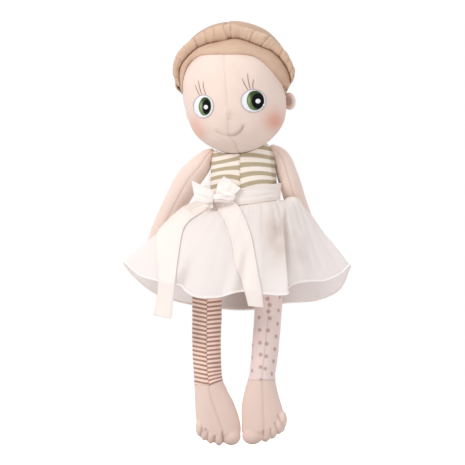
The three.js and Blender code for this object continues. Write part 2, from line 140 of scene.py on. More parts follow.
# %% Light
world = bpy.data.worlds.new("studio")
bpy.context.scene.world = world
world.use_nodes = True
sky = world.node_tree
even_light = sky.nodes["Background"]
even_light.inputs["Color"].default_value = (0.985, 0.985, 1, 1)
even_light.inputs["Strength"].default_value = 0.8
white_card = sky.nodes.new("ShaderNodeBackground")
white_card.inputs["Color"].default_value = (1, 1, 1, 1)
white_card.inputs["Strength"].default_value = 1.0
path = sky.nodes.new("ShaderNodeLightPath")
choose = sky.nodes.new("ShaderNodeMixShader")
sky.links.new(path.outputs["Is Camera Ray"], choose.inputs[0])
sky.links.new(even_light.outputs[0], choose.inputs[1])
sky.links.new(white_card.outputs[0], choose.inputs[2])
sky.links.new(choose.outputs[0], sky.nodes["World Output"].inputs[0])


DOLL_MIDDLE = Vector((0, 0, 0.18))


def lamp(name, place, size, power, colour):
    """A square lamp, size metres wide, turned towards the doll."""
    data = bpy.data.lights.new(name, "AREA")
    data.size = size
    data.energy = power
    data.color = colour
    obj = bpy.data.objects.new(name, data)
    obj.location = place
    obj.rotation_euler = (DOLL_MIDDLE - Vector(place)).to_track_quat("-Z", "Y").to_euler()
    bpy.context.scene.collection.objects.link(obj)


lamp("key_light", (-1.9, -1.9, 1.8), 1.0, 36, (1, 0.985, 0.975))
lamp("fill_light", (1.8, -2.0, 0.6), 1.4, 5, (1, 0.97, 0.96))
lamp("top_light", (-0.2, 0.9, 2.2), 1.2, 10, (1, 1, 1))

# %% [markdown]
# ## Node helpers
# Each material is a small graph. `add` makes one node and fills its sockets, from values or from other
# nodes' outputs. The helpers after it do the same for one kind of node each, such as `maths` for a Math
# node, so that a graph reads like a formula.

# %% Node helpers


def add(tree, kind, sockets=None, **settings):
    made = tree.nodes.new(kind)
    for key, value in settings.items():
        setattr(made, key, value)
    for key, value in (sockets or {}).items():
        if isinstance(value, bpy.types.NodeSocket):
            tree.links.new(value, made.inputs[key])
        else:
            made.inputs[key].default_value = value
    return made


def maths(tree, operation, *values):
    return add(tree, "ShaderNodeMath", dict(enumerate(values)), operation=operation).outputs[0]


def mixed(tree, factor, first, second, blend="MIX"):
    """Mixes two colours. A Mix node's colour sockets are numbers 0, 6 and 7."""
    return add(tree, "ShaderNodeMix", {0: factor, 6: first, 7: second}, data_type="RGBA", blend_type=blend).outputs[2]


def shade_of(red, green, blue):
    """A colour as a photograph writes it, 0 to 255, in the linear light that nodes need."""
    shares = (red / 255, green / 255, blue / 255)
    return (*(c / 12.92 if c <= 0.04045 else ((c + 0.055) / 1.055) ** 2.4 for c in shares), 1)


def noise_of(tree, where, scale, **more):
    """A Noise Texture's value; more are its other sockets, such as Detail."""
    return add(tree, "ShaderNodeTexNoise", {"Vector": where, "Scale": scale, **more}).outputs[0]


def fade(tree, value, start, end, first, last):
    """Runs from first to last while the value runs from start to end."""
    return add(tree, "ShaderNodeMapRange", {0: value, 1: start, 2: end, 3: first, 4: last}).outputs[0]


def mottled(tree, colour, shade, amount, darkest):
    """The colour times a grey that the pattern's shade moves up from the darkest by the amount."""
    lift = maths(tree, "ADD", maths(tree, "MULTIPLY", shade, amount), darkest)
    grey = add(tree, "ShaderNodeCombineColor", {0: lift, 1: lift, 2: lift}).outputs[0]
    return mixed(tree, 1.0, colour, grey, "MULTIPLY")


def raise_pattern(tree, shader, height, strength, relief):
    """Lets a pattern's height show in the surface, with a relief in mm."""
    bump = add(tree, "ShaderNodeBump", {"Height": height, "Strength": strength, "Distance": relief / 1000})
    tree.links.new(bump.outputs[0], shader.inputs["Normal"])


def new_material(name):
    """A material with nodes: itself, its tree and its shader."""
    material = bpy.data.materials.new(name)
    material.use_nodes = True
    return material, material.node_tree, material.node_tree.nodes["Principled BSDF"]


def new_group(name, inputs, outputs):
    """An empty shader group with float inputs (a dict of defaults), a Vector input and the named outputs."""
    tree = bpy.data.node_groups.new(name, "ShaderNodeTree")
    tree.interface.new_socket("Vector", in_out="INPUT", socket_type="NodeSocketVector")
    for key, value in inputs.items():
        tree.interface.new_socket(key, in_out="INPUT", socket_type="NodeSocketFloat").default_value = value
    for key in outputs:
        tree.interface.new_socket(key, in_out="OUTPUT", socket_type="NodeSocketFloat")
    return tree, tree.nodes.new("NodeGroupInput").outputs, tree.nodes.new("NodeGroupOutput").inputs


# %% [markdown]
# ## Jersey
# The skin, hair, bodice and legs are knitted jersey. Close up, each stitch is a small V, in columns under
# 1 mm wide. The group draws one V per cell of the flat cloth: the further a point is from the middle of
# its column, the later the wave of the course reaches it. A soft noise gives the yarn its uneven thickness.

# %% Jersey


def make_jersey():
    tree, given, result = new_group("jersey_knit", {"Wale": 0.9, "Course": 0.75}, ["Height", "Shade"])
    parts = add(tree, "ShaderNodeSeparateXYZ", {0: given["Vector"]}).outputs
    column = maths(tree, "DIVIDE", parts[0], given["Wale"])
    off_middle = maths(tree, "ABSOLUTE", maths(tree, "SUBTRACT", maths(tree, "FRACT", column), 0.5))
    rows = maths(tree, "DIVIDE", parts[1], given["Course"])
    course = maths(tree, "ADD", rows, maths(tree, "MULTIPLY", off_middle, 1.3))
    yarn = maths(tree, "ABSOLUTE", maths(tree, "SINE", maths(tree, "MULTIPLY", course, pi)))
    ridge = maths(tree, "SUBTRACT", 1.0, maths(tree, "POWER", maths(tree, "MULTIPLY", off_middle, 2.0), 4.0))
    uneven = noise_of(tree, given["Vector"], 2.2, Detail=3.0)
    knit = maths(tree, "MULTIPLY", maths(tree, "MULTIPLY", yarn, ridge), maths(tree, "ADD", uneven, 0.4))
    tree.links.new(knit, result["Height"])
    blotch = noise_of(tree, given["Vector"], 0.09, Detail=4.0)
    shade = maths(tree, "ADD", maths(tree, "MULTIPLY", knit, 0.4), maths(tree, "MULTIPLY", blotch, 0.6))
    tree.links.new(shade, result["Shade"])
    return tree


jersey = make_jersey()

# %% [markdown]
# ## Woven cotton and gauze
# The sash and the skirt are woven: one set of threads runs along the cloth and one across it, over and
# under in turn. Two crossed waves give that, and stretched noises make single threads thicker than others.

# %% Woven cloth


def make_weave():
    tree, given, result = new_group("plain_weave", {"Thread": 0.6}, ["Height", "Shade"])
    parts = add(tree, "ShaderNodeSeparateXYZ", {0: given["Vector"]}).outputs
    waves = []
    slubs = []
    for axis, squeeze in ((0, (3.0, 0.12, 1)), (1, (0.12, 3.0, 1))):
        turns = maths(tree, "MULTIPLY", maths(tree, "DIVIDE", parts[axis], given["Thread"]), pi)
        waves.append(maths(tree, "SINE", turns))
        stretched = add(tree, "ShaderNodeMapping", {"Vector": given["Vector"], "Scale": squeeze}).outputs[0]
        slubs.append(noise_of(tree, stretched, 0.8, Detail=2.0))
    over = maths(tree, "MULTIPLY", *waves)
    uneven = maths(tree, "ADD", *slubs)
    tree.links.new(maths(tree, "ADD", maths(tree, "MULTIPLY", over, 0.35), uneven), result["Height"])
    tree.links.new(maths(tree, "MULTIPLY", uneven, 0.5), result["Shade"])
    return tree


weave = make_weave()

# %% [markdown]
# ## Satin stitch
# Embroidery fills an area with parallel threads that lie side by side and catch the light. A wave across
# the threads gives their round backs, and noise along them keeps the rows from looking machined.

# %% Satin stitch


def make_satin():
    tree, given, result = new_group("satin_stitch", {"Thread": 0.35, "Lean": 0.3}, ["Height", "Shade"])
    parts = add(tree, "ShaderNodeSeparateXYZ", {0: given["Vector"]}).outputs
    waver = noise_of(tree, given["Vector"], 0.5)
    across = maths(tree, "ADD", parts[0], maths(tree, "MULTIPLY", parts[1], given["Lean"]))
    across = maths(tree, "ADD", across, maths(tree, "MULTIPLY", waver, 0.5))
    turns = maths(tree, "MULTIPLY", maths(tree, "DIVIDE", across, given["Thread"]), pi)
    back = maths(tree, "ABSOLUTE", maths(tree, "SINE", turns))
    tree.links.new(back, result["Height"])
    shade = maths(tree, "ADD", maths(tree, "MULTIPLY", back, 0.6), maths(tree, "MULTIPLY", waver, 0.4))
    tree.links.new(shade, result["Shade"])
    return tree


satin = make_satin()

# %% [markdown]
# ## Cloth materials
# All cloths share one recipe: a colour that may come from a pattern, with painted shade where the mesh
# marks creases, folds, seams and hollows, a bump from the knit or weave, and a soft sheen, because loose
# fibres on the surface catch the light at a glancing angle. The uniform sheen is set on the shader itself.

# %% Cloth materials


def coordinates(tree, flat=True):
    """The flat cloth in mm, from the UV map, or the place on the doll in mm where a mesh has no map."""
    if flat:
        return add(tree, "ShaderNodeUVMap", uv_map="cloth").outputs[0]
    place = add(tree, "ShaderNodeTexCoord").outputs["Object"]
    in_mm = {"Vector": place, "Rotation": (radians(90), 0, 0), "Scale": (1000, 1000, 1000)}
    return add(tree, "ShaderNodeMapping", in_mm).outputs[0]


def marked(tree, name):
    """What the mesh says about each of its points under that name."""
    return add(tree, "ShaderNodeAttribute", attribute_name=name).outputs["Fac"]


def cloth(
    name,
    colour,
    structure=jersey,
    flat=True,
    relief=0.12,
    painted_shade=(0.62, 0.5, 0.45, 1),
    pattern=None,
    sheen=0.25,
    mottle=0.1,
    **sizes,
):
    """A cloth material. pattern(tree, where, colour) may lay stripes or dots over the ground colour."""
    material, tree, shader = new_material(name)
    where = coordinates(tree, flat)
    fabric = add(tree, "ShaderNodeGroup", node_tree=structure)
    tree.links.new(where, fabric.inputs["Vector"])
    for key, value in sizes.items():
        fabric.inputs[key].default_value = value
    ground = pattern(tree, where, colour) if pattern else colour
    uneven = mottled(tree, ground, fabric.outputs["Shade"], mottle, 1 - mottle * 0.62)
    # Painted shade: the colour darkens towards the shade colour where the mesh marks creases, folds, seams and hollows.
    dark = mixed(tree, marked(tree, "painted_shade"), (1, 1, 1, 1), painted_shade)
    finished = mixed(tree, 1.0, uneven, dark, "MULTIPLY")
    tree.links.new(finished, shader.inputs["Base Color"])
    raise_pattern(tree, shader, fabric.outputs["Height"], 0.35, relief)
    shader.inputs["Roughness"].default_value = 0.85
    shader.inputs["Specular IOR Level"].default_value = 0.25
    shader.inputs["Sheen Weight"].default_value = sheen
    shader.inputs["Sheen Roughness"].default_value = 0.45
    return material


def blush(tree, where, colour):
    """Rosy cheeks over the skin, and painted shade below the chin."""
    rosy = mixed(tree, marked(tree, "blush"), colour, shade_of(224, 136, 100))
    return mixed(tree, marked(tree, "shade"), rosy, shade_of(205, 186, 180))


SKIN = shade_of(243, 221, 209)
face_jersey = cloth("face_jersey", SKIN, pattern=blush, relief=0.1, painted_shade=(0.56, 0.47, 0.44, 1))
limb_jersey = cloth("limb_jersey", shade_of(242, 220, 208), relief=0.1)
# The feet's jersey is the limbs' skin jersey made darker: painted shade on the lowest part of the doll.
shaded_foot_jersey = cloth("shaded_foot_jersey", shade_of(232, 208, 196), flat=False, relief=0.1)
# The cap is the hair's jersey made darker: painted shade over the crown behind the roll.
shaded_cap_jersey = cloth("shaded_cap_jersey", shade_of(196, 165, 142), relief=0.16, sheen=0.1, painted_shade=(0.5, 0.36, 0.27, 1))
hair_jersey = cloth("hair_jersey", shade_of(216, 185, 160), relief=0.16, painted_shade=(0.5, 0.36, 0.27, 1))
# The bow and the rest of the sash are one cotton in two copies: the bow's is lighter, painted light where the head's
# shadow falls on it, and the sash's a little darker, painted shade on the tails.
lit_bow_cotton = cloth("lit_bow_cotton", shade_of(253, 247, 242), structure=weave, relief=0.1, sheen=0.15, mottle=0.06)
sash_cotton = cloth("sash_cotton", shade_of(244, 234, 227), structure=weave, relief=0.1, sheen=0.15, mottle=0.06)
print("cloth materials:", len(bpy.data.materials))

# %% [markdown]
# ## From a flat grid to a sewn piece
# Most of the doll is cloth bent round something, so most pieces start as a flat grid whose UV map is the
# cut cloth in mm. A function then says where each point of the flat cloth goes, just as a maker wraps a
# pattern piece. Other pieces start from a ball. `keep` turns the finished mesh into an object on its body.

# %% Grid and ball


def wrapped(columns, rows, place, size, closed=False):
    """A grid of cloth of that size in mm; place(u, v) says where each point goes, u and v from 0 to 1."""
    bm = bmesh.new()
    bmesh.ops.create_grid(bm, x_segments=columns, y_segments=rows, size=0.5)
    low, high = min(v.co.x for v in bm.verts), max(v.co.x for v in bm.verts)
    span = high - low
    cut = bm.loops.layers.uv.new("cloth")
    for face in bm.faces:
        for loop in face.loops:
            u, v = ((loop.vert.co[i] - low) / span for i in (0, 1))
            loop[cut].uv = (u * size[0], v * size[1])
    for vert in bm.verts:
        vert.co = place(*((vert.co[i] - low) / span for i in (0, 1)))
    if closed:
        bmesh.ops.remove_doubles(bm, verts=bm.verts, dist=0.001)
        bmesh.ops.recalc_face_normals(bm, faces=bm.faces)
    return bm


def unit_ball(around, up):
    """A ball of radius 1, to be spread over a form and mapped by the caller."""
    bm = bmesh.new()
    bmesh.ops.create_uvsphere(bm, u_segments=around, v_segments=up, radius=1)
    return bm


def corners(bm):
    """Every corner of every face with its place on the flat cloth in mm."""
    cut = bm.loops.layers.uv["cloth"]
    for face in bm.faces:
        for corner in face.loops:
            yield corner, corner[cut].uv


def map_front(bm):
    """Lays the cloth map over a mesh from the front: its x and z in mm."""
    cut = bm.loops.layers.uv.get("cloth") or bm.loops.layers.uv.new("cloth")
    for face in bm.faces:
        for loop in face.loops:
            loop[cut].uv = (loop.vert.co.x, loop.vert.co.z)


def mark(bm, name, strength):
    """Writes strength(point) on every vertex, for a material to read."""
    layer = bm.verts.layers.float.get(name) or bm.verts.layers.float.new(name)
    for vert in bm.verts:
        vert[layer] = strength(vert.co)


def face_front(bm):
    """Turns the faces of an open piece so that they look forwards."""
    bmesh.ops.recalc_face_normals(bm, faces=bm.faces)
    if sum(f.normal.y * f.calc_area() for f in bm.faces) > 0:
        bmesh.ops.reverse_faces(bm, faces=bm.faces)
    return bm


def cut_off(bm, point, normal):
    """Cuts the mesh with a plane and drops the side towards which the normal points."""
    everything = bm.verts[:] + bm.edges[:] + bm.faces[:]
    bmesh.ops.bisect_plane(bm, geom=everything, plane_co=point, plane_no=normal, clear_outer=True)


def sides(bm, point, normal):
    """The two halves of a mesh at a plane, first the side towards which the normal points."""
    other = bm.copy()
    cut_off(bm, point, -Vector(normal))
    cut_off(other, point, Vector(normal))
    return bm, other


def keep(
    name, bm, material, body, nodes=(), slot=None, fill=None, levels=0, thick=0, frame_matrix=None, blend=None
):
    """Turns a mesh in mm into an object of the scene that rides on a body.

    It may replace nodes, be rounded (levels) and get a cloth's thickness in mm (thick). fill is not used.
    """
    if frame_matrix is not None:
        bmesh.ops.transform(bm, matrix=frame_matrix, verts=bm.verts)
    bmesh.ops.transform(bm, matrix=TO_FRAME, verts=bm.verts)
    mesh = bpy.data.meshes.new(name)
    bm.to_mesh(mesh)
    bm.free()
    mesh.shade_smooth()
    obj = bpy.data.objects.new(name, mesh)
    bpy.context.scene.collection.objects.link(obj)
    mesh.materials.append(material)
    if thick:
        wall = obj.modifiers.new("cloth thickness", "SOLIDIFY")
        wall.thickness = thick / 1000
        wall.offset = -1
    if levels:
        rounding = obj.modifiers.new("rounding", "SUBSURF")
        rounding.levels = rounding.render_levels = levels
    if blend:
        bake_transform(obj, *blend)
    else:
        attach(obj, body)
    if nodes:
        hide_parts(*nodes)
    return obj


def curve_between(a, b, c, d, f):
    """The point at share f of the way from b to c on a smooth curve through a, b, c and d (Catmull-Rom)."""
    return 0.5 * ((2 * b) + (c - a) * f + (2 * a - 5 * b + 4 * c - d) * f * f + (3 * b - a - 3 * c + d) * f**3)


def along_line(line, t):
    """The point at share t of a smooth line through points."""
    step = t * (len(line) - 1)
    i = min(len(line) - 2, int(step))
    f = step - i
    return curve_between(*(Vector(line[min(len(line) - 1, max(0, k))]) for k in (i - 1, i, i + 1, i + 2)), f)


print("helpers ready")

# %% [markdown]
# ## The form of the head
# The head is a ball of jersey, a little taller than wide, with full cheeks. Everything on the face is
# measured in the photograph, so the relief is a function of the pixel at which a point is seen: the seam
# down the middle is a narrow groove, the nose a small pinch of stuffing, and the smile a stitched crease.

# %% Form of the head
FACE = Vector((41.8, 42.5, 48))  # half width, half depth and half height in mm
# The stitched smile from its left to its right end, in pixels
SMILE = [
    (218.0, 132.6), (220.6, 134.4), (224.5, 135.6), (229.4, 136.4),
    (234.4, 135.9), (238.6, 133.6), (241.6, 130.6), (243.0, 127.8),
]


def seam_drift(z):
    """How far the face seam wanders from the middle of the head, in mm: the mouth's stitches pull it."""
    return between(z, [(-38, 0), (-34.6, -2.8), (-32, -3.2), (-24, -2.2), (-16, -0.7), (-8, 0)])


def distance_to(line, x, y):
    """Distance in pixels from a point to a line of several stretches."""
    nearest = 1e9
    for (ax, ay), (bx, by) in zip(line, line[1:]):
        length = (bx - ax) ** 2 + (by - ay) ** 2
        t = min(1, max(0, ((x - ax) * (bx - ax) + (y - ay) * (by - ay)) / length))
        nearest = min(nearest, sqrt((x - ax - t * (bx - ax)) ** 2 + (y - ay - t * (by - ay)) ** 2))
    return nearest


def face_relief(px, py):
    """How far the stuffed face stands out of the plain ball, in mm, at a pixel of the photograph."""
    nose = 1.1 * bell(px - 228.6, 3.2) * bell(py - 113.5, 4.8)
    smile = -(0.4 + 0.6 * smooth((px - 223) / 12)) * bell(distance_to(SMILE, px, py), 1.2)
    lip = 0.7 * bell(px - 231, 8) * bell(py - 141.5, 4)
    cheeks = 1.2 * bell(px - 262, 15) * bell(py - 124, 13) + 1.2 * bell(px - 203, 12) * bell(py - 127, 12)
    ends = -0.8 * bell(px - 217.2, 2.2) * bell(py - 131.6, 2.2) - 0.7 * bell(px - 243.6, 2) * bell(py - 126.8, 2)
    return nose + smile + lip + cheeks + ends


def head_point(direction):
    """The point of the head's skin in a direction from its middle, in the head's own frame."""
    lift = 0.0
    x, y, z = direction
    point = Vector((FACE.x * x, FACE.y * y, FACE.z * z))
    full = 0.055 * bell(point.z + 31, 15)
    point.x *= 1 + full
    point.y *= 1 + 0.4 * full
    point.x *= 1 + 0.06 * bell(point.z - 24, 13) * smooth(-x / 0.3)
    point.x += 1.5 * smooth((4 - point.z) / 22) * abs(x)
    out = Vector((x / FACE.x, y / FACE.y, z / FACE.z)).normalized()
    if y < 0.1:
        front = smooth((0.1 - y) / 0.3)
        point.x += seam_drift(point.z) * bell(point.x, 15) * front
        lift += face_relief(*pixel(HEAD @ point)) * front
    lift += 0.35 * noise.noise(point * 0.07)
    return point + out * lift


head_surface = unit_ball(96, 64)
for vert in head_surface.verts:
    vert.co = head_point(vert.co.normalized())
bmesh.ops.transform(head_surface, matrix=HEAD, verts=head_surface.verts)
head_tree = BVHTree.FromBMesh(head_surface)
print("head reaches", round(max(v.co.z for v in head_surface.verts)), "mm")


def on_face(px, py, lift=0.0):
    """The point of the face that the photograph shows at a pixel, lifted off the skin in mm."""
    x, z = seen(px, py)
    hit, normal = head_tree.ray_cast(Vector((x, -200, z)), Vector((0, 1, 0)))[:2]
    if hit is None:
        hit, normal = head_tree.find_nearest(Vector((x, -10, z)))[:2]
    return hit + normal * lift


# %% [markdown]
# ## Face panels
# The face is sewn from two panels of skin jersey, right and left, and a third panel makes the back of the
# head. All three are cut from one shaped ball with `bisect_plane`, so their edges meet exactly, and the
# ball is drawn in along both cuts, as a seam draws stuffed cloth in.

# %% Face panels


def sew_head(bm):
    """Spreads a cut of the unit ball over the head, draws it in at its seams, and marks its blush and its painted
    shade: in the seam, nose and smile, and towards the chin.
    """
    painted_shade = bm.verts.layers.float.new("painted_shade")
    rosy = bm.verts.layers.float.new("blush")
    shade = bm.verts.layers.float.new("shade")
    for vert in bm.verts:
        direction = vert.co.normalized()
        point = head_point(direction)
        px, py = pixel(HEAD @ point)
        facing = direction.y < 0.09
        near_seam = bell(direction.x * FACE.x, 1.0) if facing else 0
        near_ears = bell(direction.y * FACE.y - 4, 1.1)
        out = Vector((point.x / FACE.x**2, point.y / FACE.y**2, point.z / FACE.z**2)).normalized()
        vert.co = point - out * (0.4 * near_seam + 0.5 * near_ears)
        if facing:
            away = distance_to(SMILE, px, py)
            drawn = 0.3 + 0.7 * smooth((px - 224) / 10)
            dimple = 0.4 * bell(px - 218.3, 1.8) * bell(py - 132.8, 1.0)
            stitched = drawn * (0.5 * bell(away, 0.9) + 0.3 * bell(away, 2.8)) + dimple
            nose = 0.42 * bell(px - 229.9, 0.8) * bell(py - 112.5, 4.5)
            nose += 0.34 * bell(px - 226.7, 0.8) * bell(py - 114.5, 3.6)
            nose += 0.3 * bell(px - 228.6, 1.9) * bell(py - 119.6, 0.9)
            # Painted shade in the seam's groove, the nose's pinch and the smile's crease; the smile's darker line is
            # partly its stitches.
            vert[painted_shade] = min(1, near_seam * (0.13 + 0.1 * smooth((py - 137) / 4)) + stitched + nose)
            right = 0.62 * bell(px - 275, 10.5) * bell(py - 121.5, 10.5)
            left = 0.4 * bell(px - 194.5, 8) * bell(py - 126, 10) + 0.3 * bell(px - 200, 7) * bell(py - 135, 6)
            vert[rosy] = min(1, right + left)
            # Painted shade: the lower face is drawn darker towards the chin.
            vert[shade] = 0.12 * smooth((py - 132) / 20)
    map_front(bm)


front, back = sides(unit_ball(260, 170), (0, 4 / FACE.y, 0), (0, -1, 0))
face_right, face_left = sides(front, (0, 0, 0), (1, 0, 0))
for panel, name in ((face_right, "face_panel_right"), (face_left, "face_panel_left"), (back, "head_back_panel")):
    sew_head(panel)
    made = keep(name + "_cloth", panel, face_jersey, "head", [name], "skin_jersey", 0.9, frame_matrix=HEAD)
    print(made.name, len(made.data.vertices), "points")

# %% [markdown]
# ## Stuffing
# The stuffing fills each bag and never shows, but it is part of the doll, so it gets a finish too:
# loose white polyester fibre, drawn with a noise that is distorted into strands.

# %% Stuffing


def make_fibre():
    material, tree, shader = new_material("stuffing_fibre")
    strands = noise_of(tree, coordinates(tree, flat=False), 0.35, Detail=6.0, Distortion=2.5)
    tree.links.new(mixed(tree, strands, shade_of(226, 222, 214), shade_of(252, 250, 246)), shader.inputs["Base Color"])
    raise_pattern(tree, shader, strands, 0.6, 0.8)
    shader.inputs["Roughness"].default_value = 0.95
    return material


fibre = make_fibre()
stuffings = [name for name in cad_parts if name.endswith("_stuffing")]
for name in stuffings:
    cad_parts[name].data.materials.clear()
    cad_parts[name].data.materials.append(fibre)
print("stuffed bags:", len(stuffings))

# %% [markdown]
# ## Embroidered eyes
# Each eye is a patch of satin stitch: white thread first, then the green iris, the black pupil and a white
# glint on top, with a pale lilac cord round the edge. A patch starts as a line of points that is spun into
# a disc. Each point of the disc then lands on the face at its own pixel, so the patch curves with the cheek.

# %% Eye threads


def thread_material(name, colour, second=None, rough=0.45, lean=0.3, gloss=0.5):
    """Satin stitch in one colour, or running from one colour to a second where the mesh is marked."""
    material, tree, shader = new_material(name)
    fabric = add(tree, "ShaderNodeGroup", node_tree=satin)
    tree.links.new(coordinates(tree), fabric.inputs["Vector"])
    fabric.inputs["Lean"].default_value = lean
    base = mixed(tree, marked(tree, "second"), colour, second) if second else colour
    tree.links.new(mottled(tree, base, fabric.outputs["Shade"], 0.22, 0.86), shader.inputs["Base Color"])
    raise_pattern(tree, shader, fabric.outputs["Height"], 0.5, 0.12)
    shader.inputs["Roughness"].default_value = rough
    shader.inputs["Specular IOR Level"].default_value = gloss
    return material


white_thread = thread_material("white_thread", shade_of(250, 250, 250))
GREENS = (shade_of(40, 62, 18), shade_of(158, 186, 130))
green_thread = thread_material("green_thread", *GREENS, rough=0.55, lean=0.05, gloss=0.25)
black_thread = thread_material("black_thread", shade_of(9, 8, 11), rough=0.6, gloss=0.12)
lilac_thread = thread_material("lilac_thread", shade_of(206, 198, 204), lean=1.2)
brown_thread = thread_material("brown_thread", shade_of(156, 126, 118), lean=1.2)
print("threads ready")

# %% [markdown]
# A disc is spun from a straight line with `spin`; `use_merge` closes it. A cord is a small ring that is
# carried along a line of points: it suits the eye's outline, the lashes, and later the skirt's rolled hem.

# %% Discs and cords


def disc(rings, around):
    bm = bmesh.new()
    line = [bm.verts.new((r / rings, 0, 0)) for r in range(rings + 1)]
    edges = [bm.edges.new(pair) for pair in zip(line, line[1:])]
    bmesh.ops.spin(bm, geom=line + edges, cent=(0, 0, 0), axis=(0, 0, 1), angle=2 * pi, steps=around, use_merge=True)
    bmesh.ops.remove_doubles(bm, verts=bm.verts, dist=1e-5)
    return bm


def stitched_patch(centre, half, lean, low, high, around=40, rings=8):
    """A disc on the face: its middle and half size in pixels, its lean, its lift in mm at edge and middle."""
    bm = disc(rings, around)
    for vert in bm.verts:
        out = min(1, vert.co.xy.length)
        across, up = vert.co.x * half[0], vert.co.y * half[1]
        px = centre[0] + across * cos(lean) + up * sin(lean)
        py = centre[1] - up * cos(lean) + across * sin(lean)
        vert.co = on_face(px, py, low + (high - low) * (1 - out**4))
    map_front(bm)
    return face_front(bm)


CORD_SIDES = 8


def cord_along(points, radius, closed=False):
    """A thin thread through points in mm; radius may be a function of the share of the way along."""
    width = radius if callable(radius) else (lambda t: radius)
    count = len(points)
    ring = lambda i: points[i % count] if closed else points[min(count - 1, max(0, i))]

    def place(u, v):
        step = v * (count if closed else count - 1)
        i = int(step + 1e-6) if not closed or v < 1 else 0
        middle = ring(i)
        along = (ring(i + 1) - ring(i - 1)).normalized()
        across = along.cross(Vector((0, 1, 0))).normalized()
        deep = along.cross(across)
        r = width(v)
        return middle + across * (r * cos(2 * pi * u)) + deep * (r * sin(2 * pi * u))

    length = sum((ring(i + 1) - ring(i)).length for i in range(count - 1))
    return wrapped(CORD_SIDES, count if closed else count - 1, place, (6.3, length), closed=True)


print("discs and cords ready")


# %% [markdown]
# The numbers below are the eyes as the photograph shows them: the right one is wider than the left, because
# the head is turned, and both look to the right. Each layer lies a few tenths of a millimetre higher.

# %% Eyes
# Each layer: its middle and its half size in pixels, and how far it leans
EYES = {
    "right": {
        "white": ((253.3, 101.5), (12.4, 11.3), 0.0),
        "iris": ((254.7, 101.2), (8.9, 9.7), 0.0),
        "pupil": ((257.0, 101.6), (6.4, 7.5), 0.0),
        "glint": ((257.1, 101.9), (2.7, 2.5), 0.0),
    },
    "left": {
        "white": ((203.7, 106.9), (9.9, 11.3), 0.0),
        "iris": ((205.2, 106.9), (6.4, 9.1), 0.05),
        "pupil": ((207.0, 107.1), (3.9, 7.1), 0.05),
        "glint": ((207.0, 107.5), (2.2, 2.4), 0.0),
    },
}
# Each layer's thread, and its height over the skin at its edge and in its middle, in mm
LAYERS = {
    "white": (white_thread, 0.1, 0.7),
    "iris": (green_thread, 0.5, 1.1),
    "pupil": (black_thread, 0.95, 1.45),
    "glint": (white_thread, 1.3, 1.75),
}


def paler_left(bm, centre, half):
    """Marks the iris paler towards its lower left, where the second green shows."""

    def paler(point):
        px, py = pixel(point)
        streak = bell(px - centre[0] + 0.66 * half[0], 1.5) * bell(py - centre[1] + 0.5, 4.5)
        lower_left = smooth((py - centre[1]) / half[1] + 0.1) * smooth((centre[0] - px) / half[0] + 0.5)
        return min(1, 0.85 * streak + 0.4 * lower_left + 0.06)

    mark(bm, "second", paler)


for side, eye in EYES.items():
    for layer, (thread, edge, middle) in LAYERS.items():
        patch = stitched_patch(*eye[layer], edge, middle)
        if layer == "iris":
            paler_left(patch, *eye[layer][:2])
        nodes = [f"eye_embroidery_{side}"] if layer == "white" else []
        keep(f"eye_{side}_{layer}_stitches", patch, thread, "head", nodes, "eye_thread")
    (cx, cy), (a, b), _ = eye["white"]
    rim = [on_face(cx + a * cos(t), cy - b * sin(t), 0.35) for t in (2 * pi * i / 72 for i in range(72))]
    keep(f"eye_{side}_outline_cord", cord_along(rim, 0.42, closed=True), lilac_thread, "head", slot="eye_thread")
    print("eye", side, "sewn on")
small_glint = stitched_patch((263.0, 105.8), (1.0, 1.2), 0, 1.0, 1.35, around=12, rings=3)
keep("eye_right_small_glint", small_glint, white_thread, "head", slot="eye_thread")

# %% [markdown]
# ## Lashes
# Three long stitches stand over each eye. Each is a single thread that lies on the cloth and sinks in at
# both ends, so the cord gets thinner there.

# %% Lashes
LASHES = {
    "left": [((200.2, 96.2), (195.7, 85.4)), ((202.5, 96), (198.6, 80.8)), ((206.0, 95.6), (203.3, 81.8))],
    "right": [((248.2, 91.2), (242.0, 78.8)), ((250.4, 90.4), (247.4, 74.2)), ((253.0, 89.8), (253.6, 80.2))],
}
for side, stitches in LASHES.items():
    for number, (low, high) in enumerate(stitches, 1):
        points = []
        for t in (i / 12 for i in range(13)):
            px, py = low[0] + (high[0] - low[0]) * t, low[1] + (high[1] - low[1]) * t
            points.append(on_face(px - 0.7 * sin(pi * t), py, 0.16))
        lash = cord_along(points, lambda t: 0.1 + 0.22 * sin(pi * min(1, 0.12 + 0.86 * t)) ** 0.6)
        keep(f"lash_{side}_{number}", lash, brown_thread, "head", slot="eye_thread")
print("lashes sewn")

# %% [markdown]
# ## Ears
# An ear is a small stuffed disc of skin jersey, sewn into the side seam. It is a ball pressed flat, with
# its front pushed in so that a rolled rim stays round the edge. The left ear is hidden in the photograph
# and lies closer to the head.

# %% Ears
# Middle and radii in mm, how deep the front is pushed in, and the side it stands away to
EARS = {
    "right": {"centre": (44.2, 6.4, -9.4), "radii": (5.5, 3.6, 7.2), "hollow": 2.4, "away": 1},
    "left": {"centre": (-38.6, 17, -10.5), "radii": (5.2, 4.0, 7.6), "hollow": 2.0, "away": -1},
}


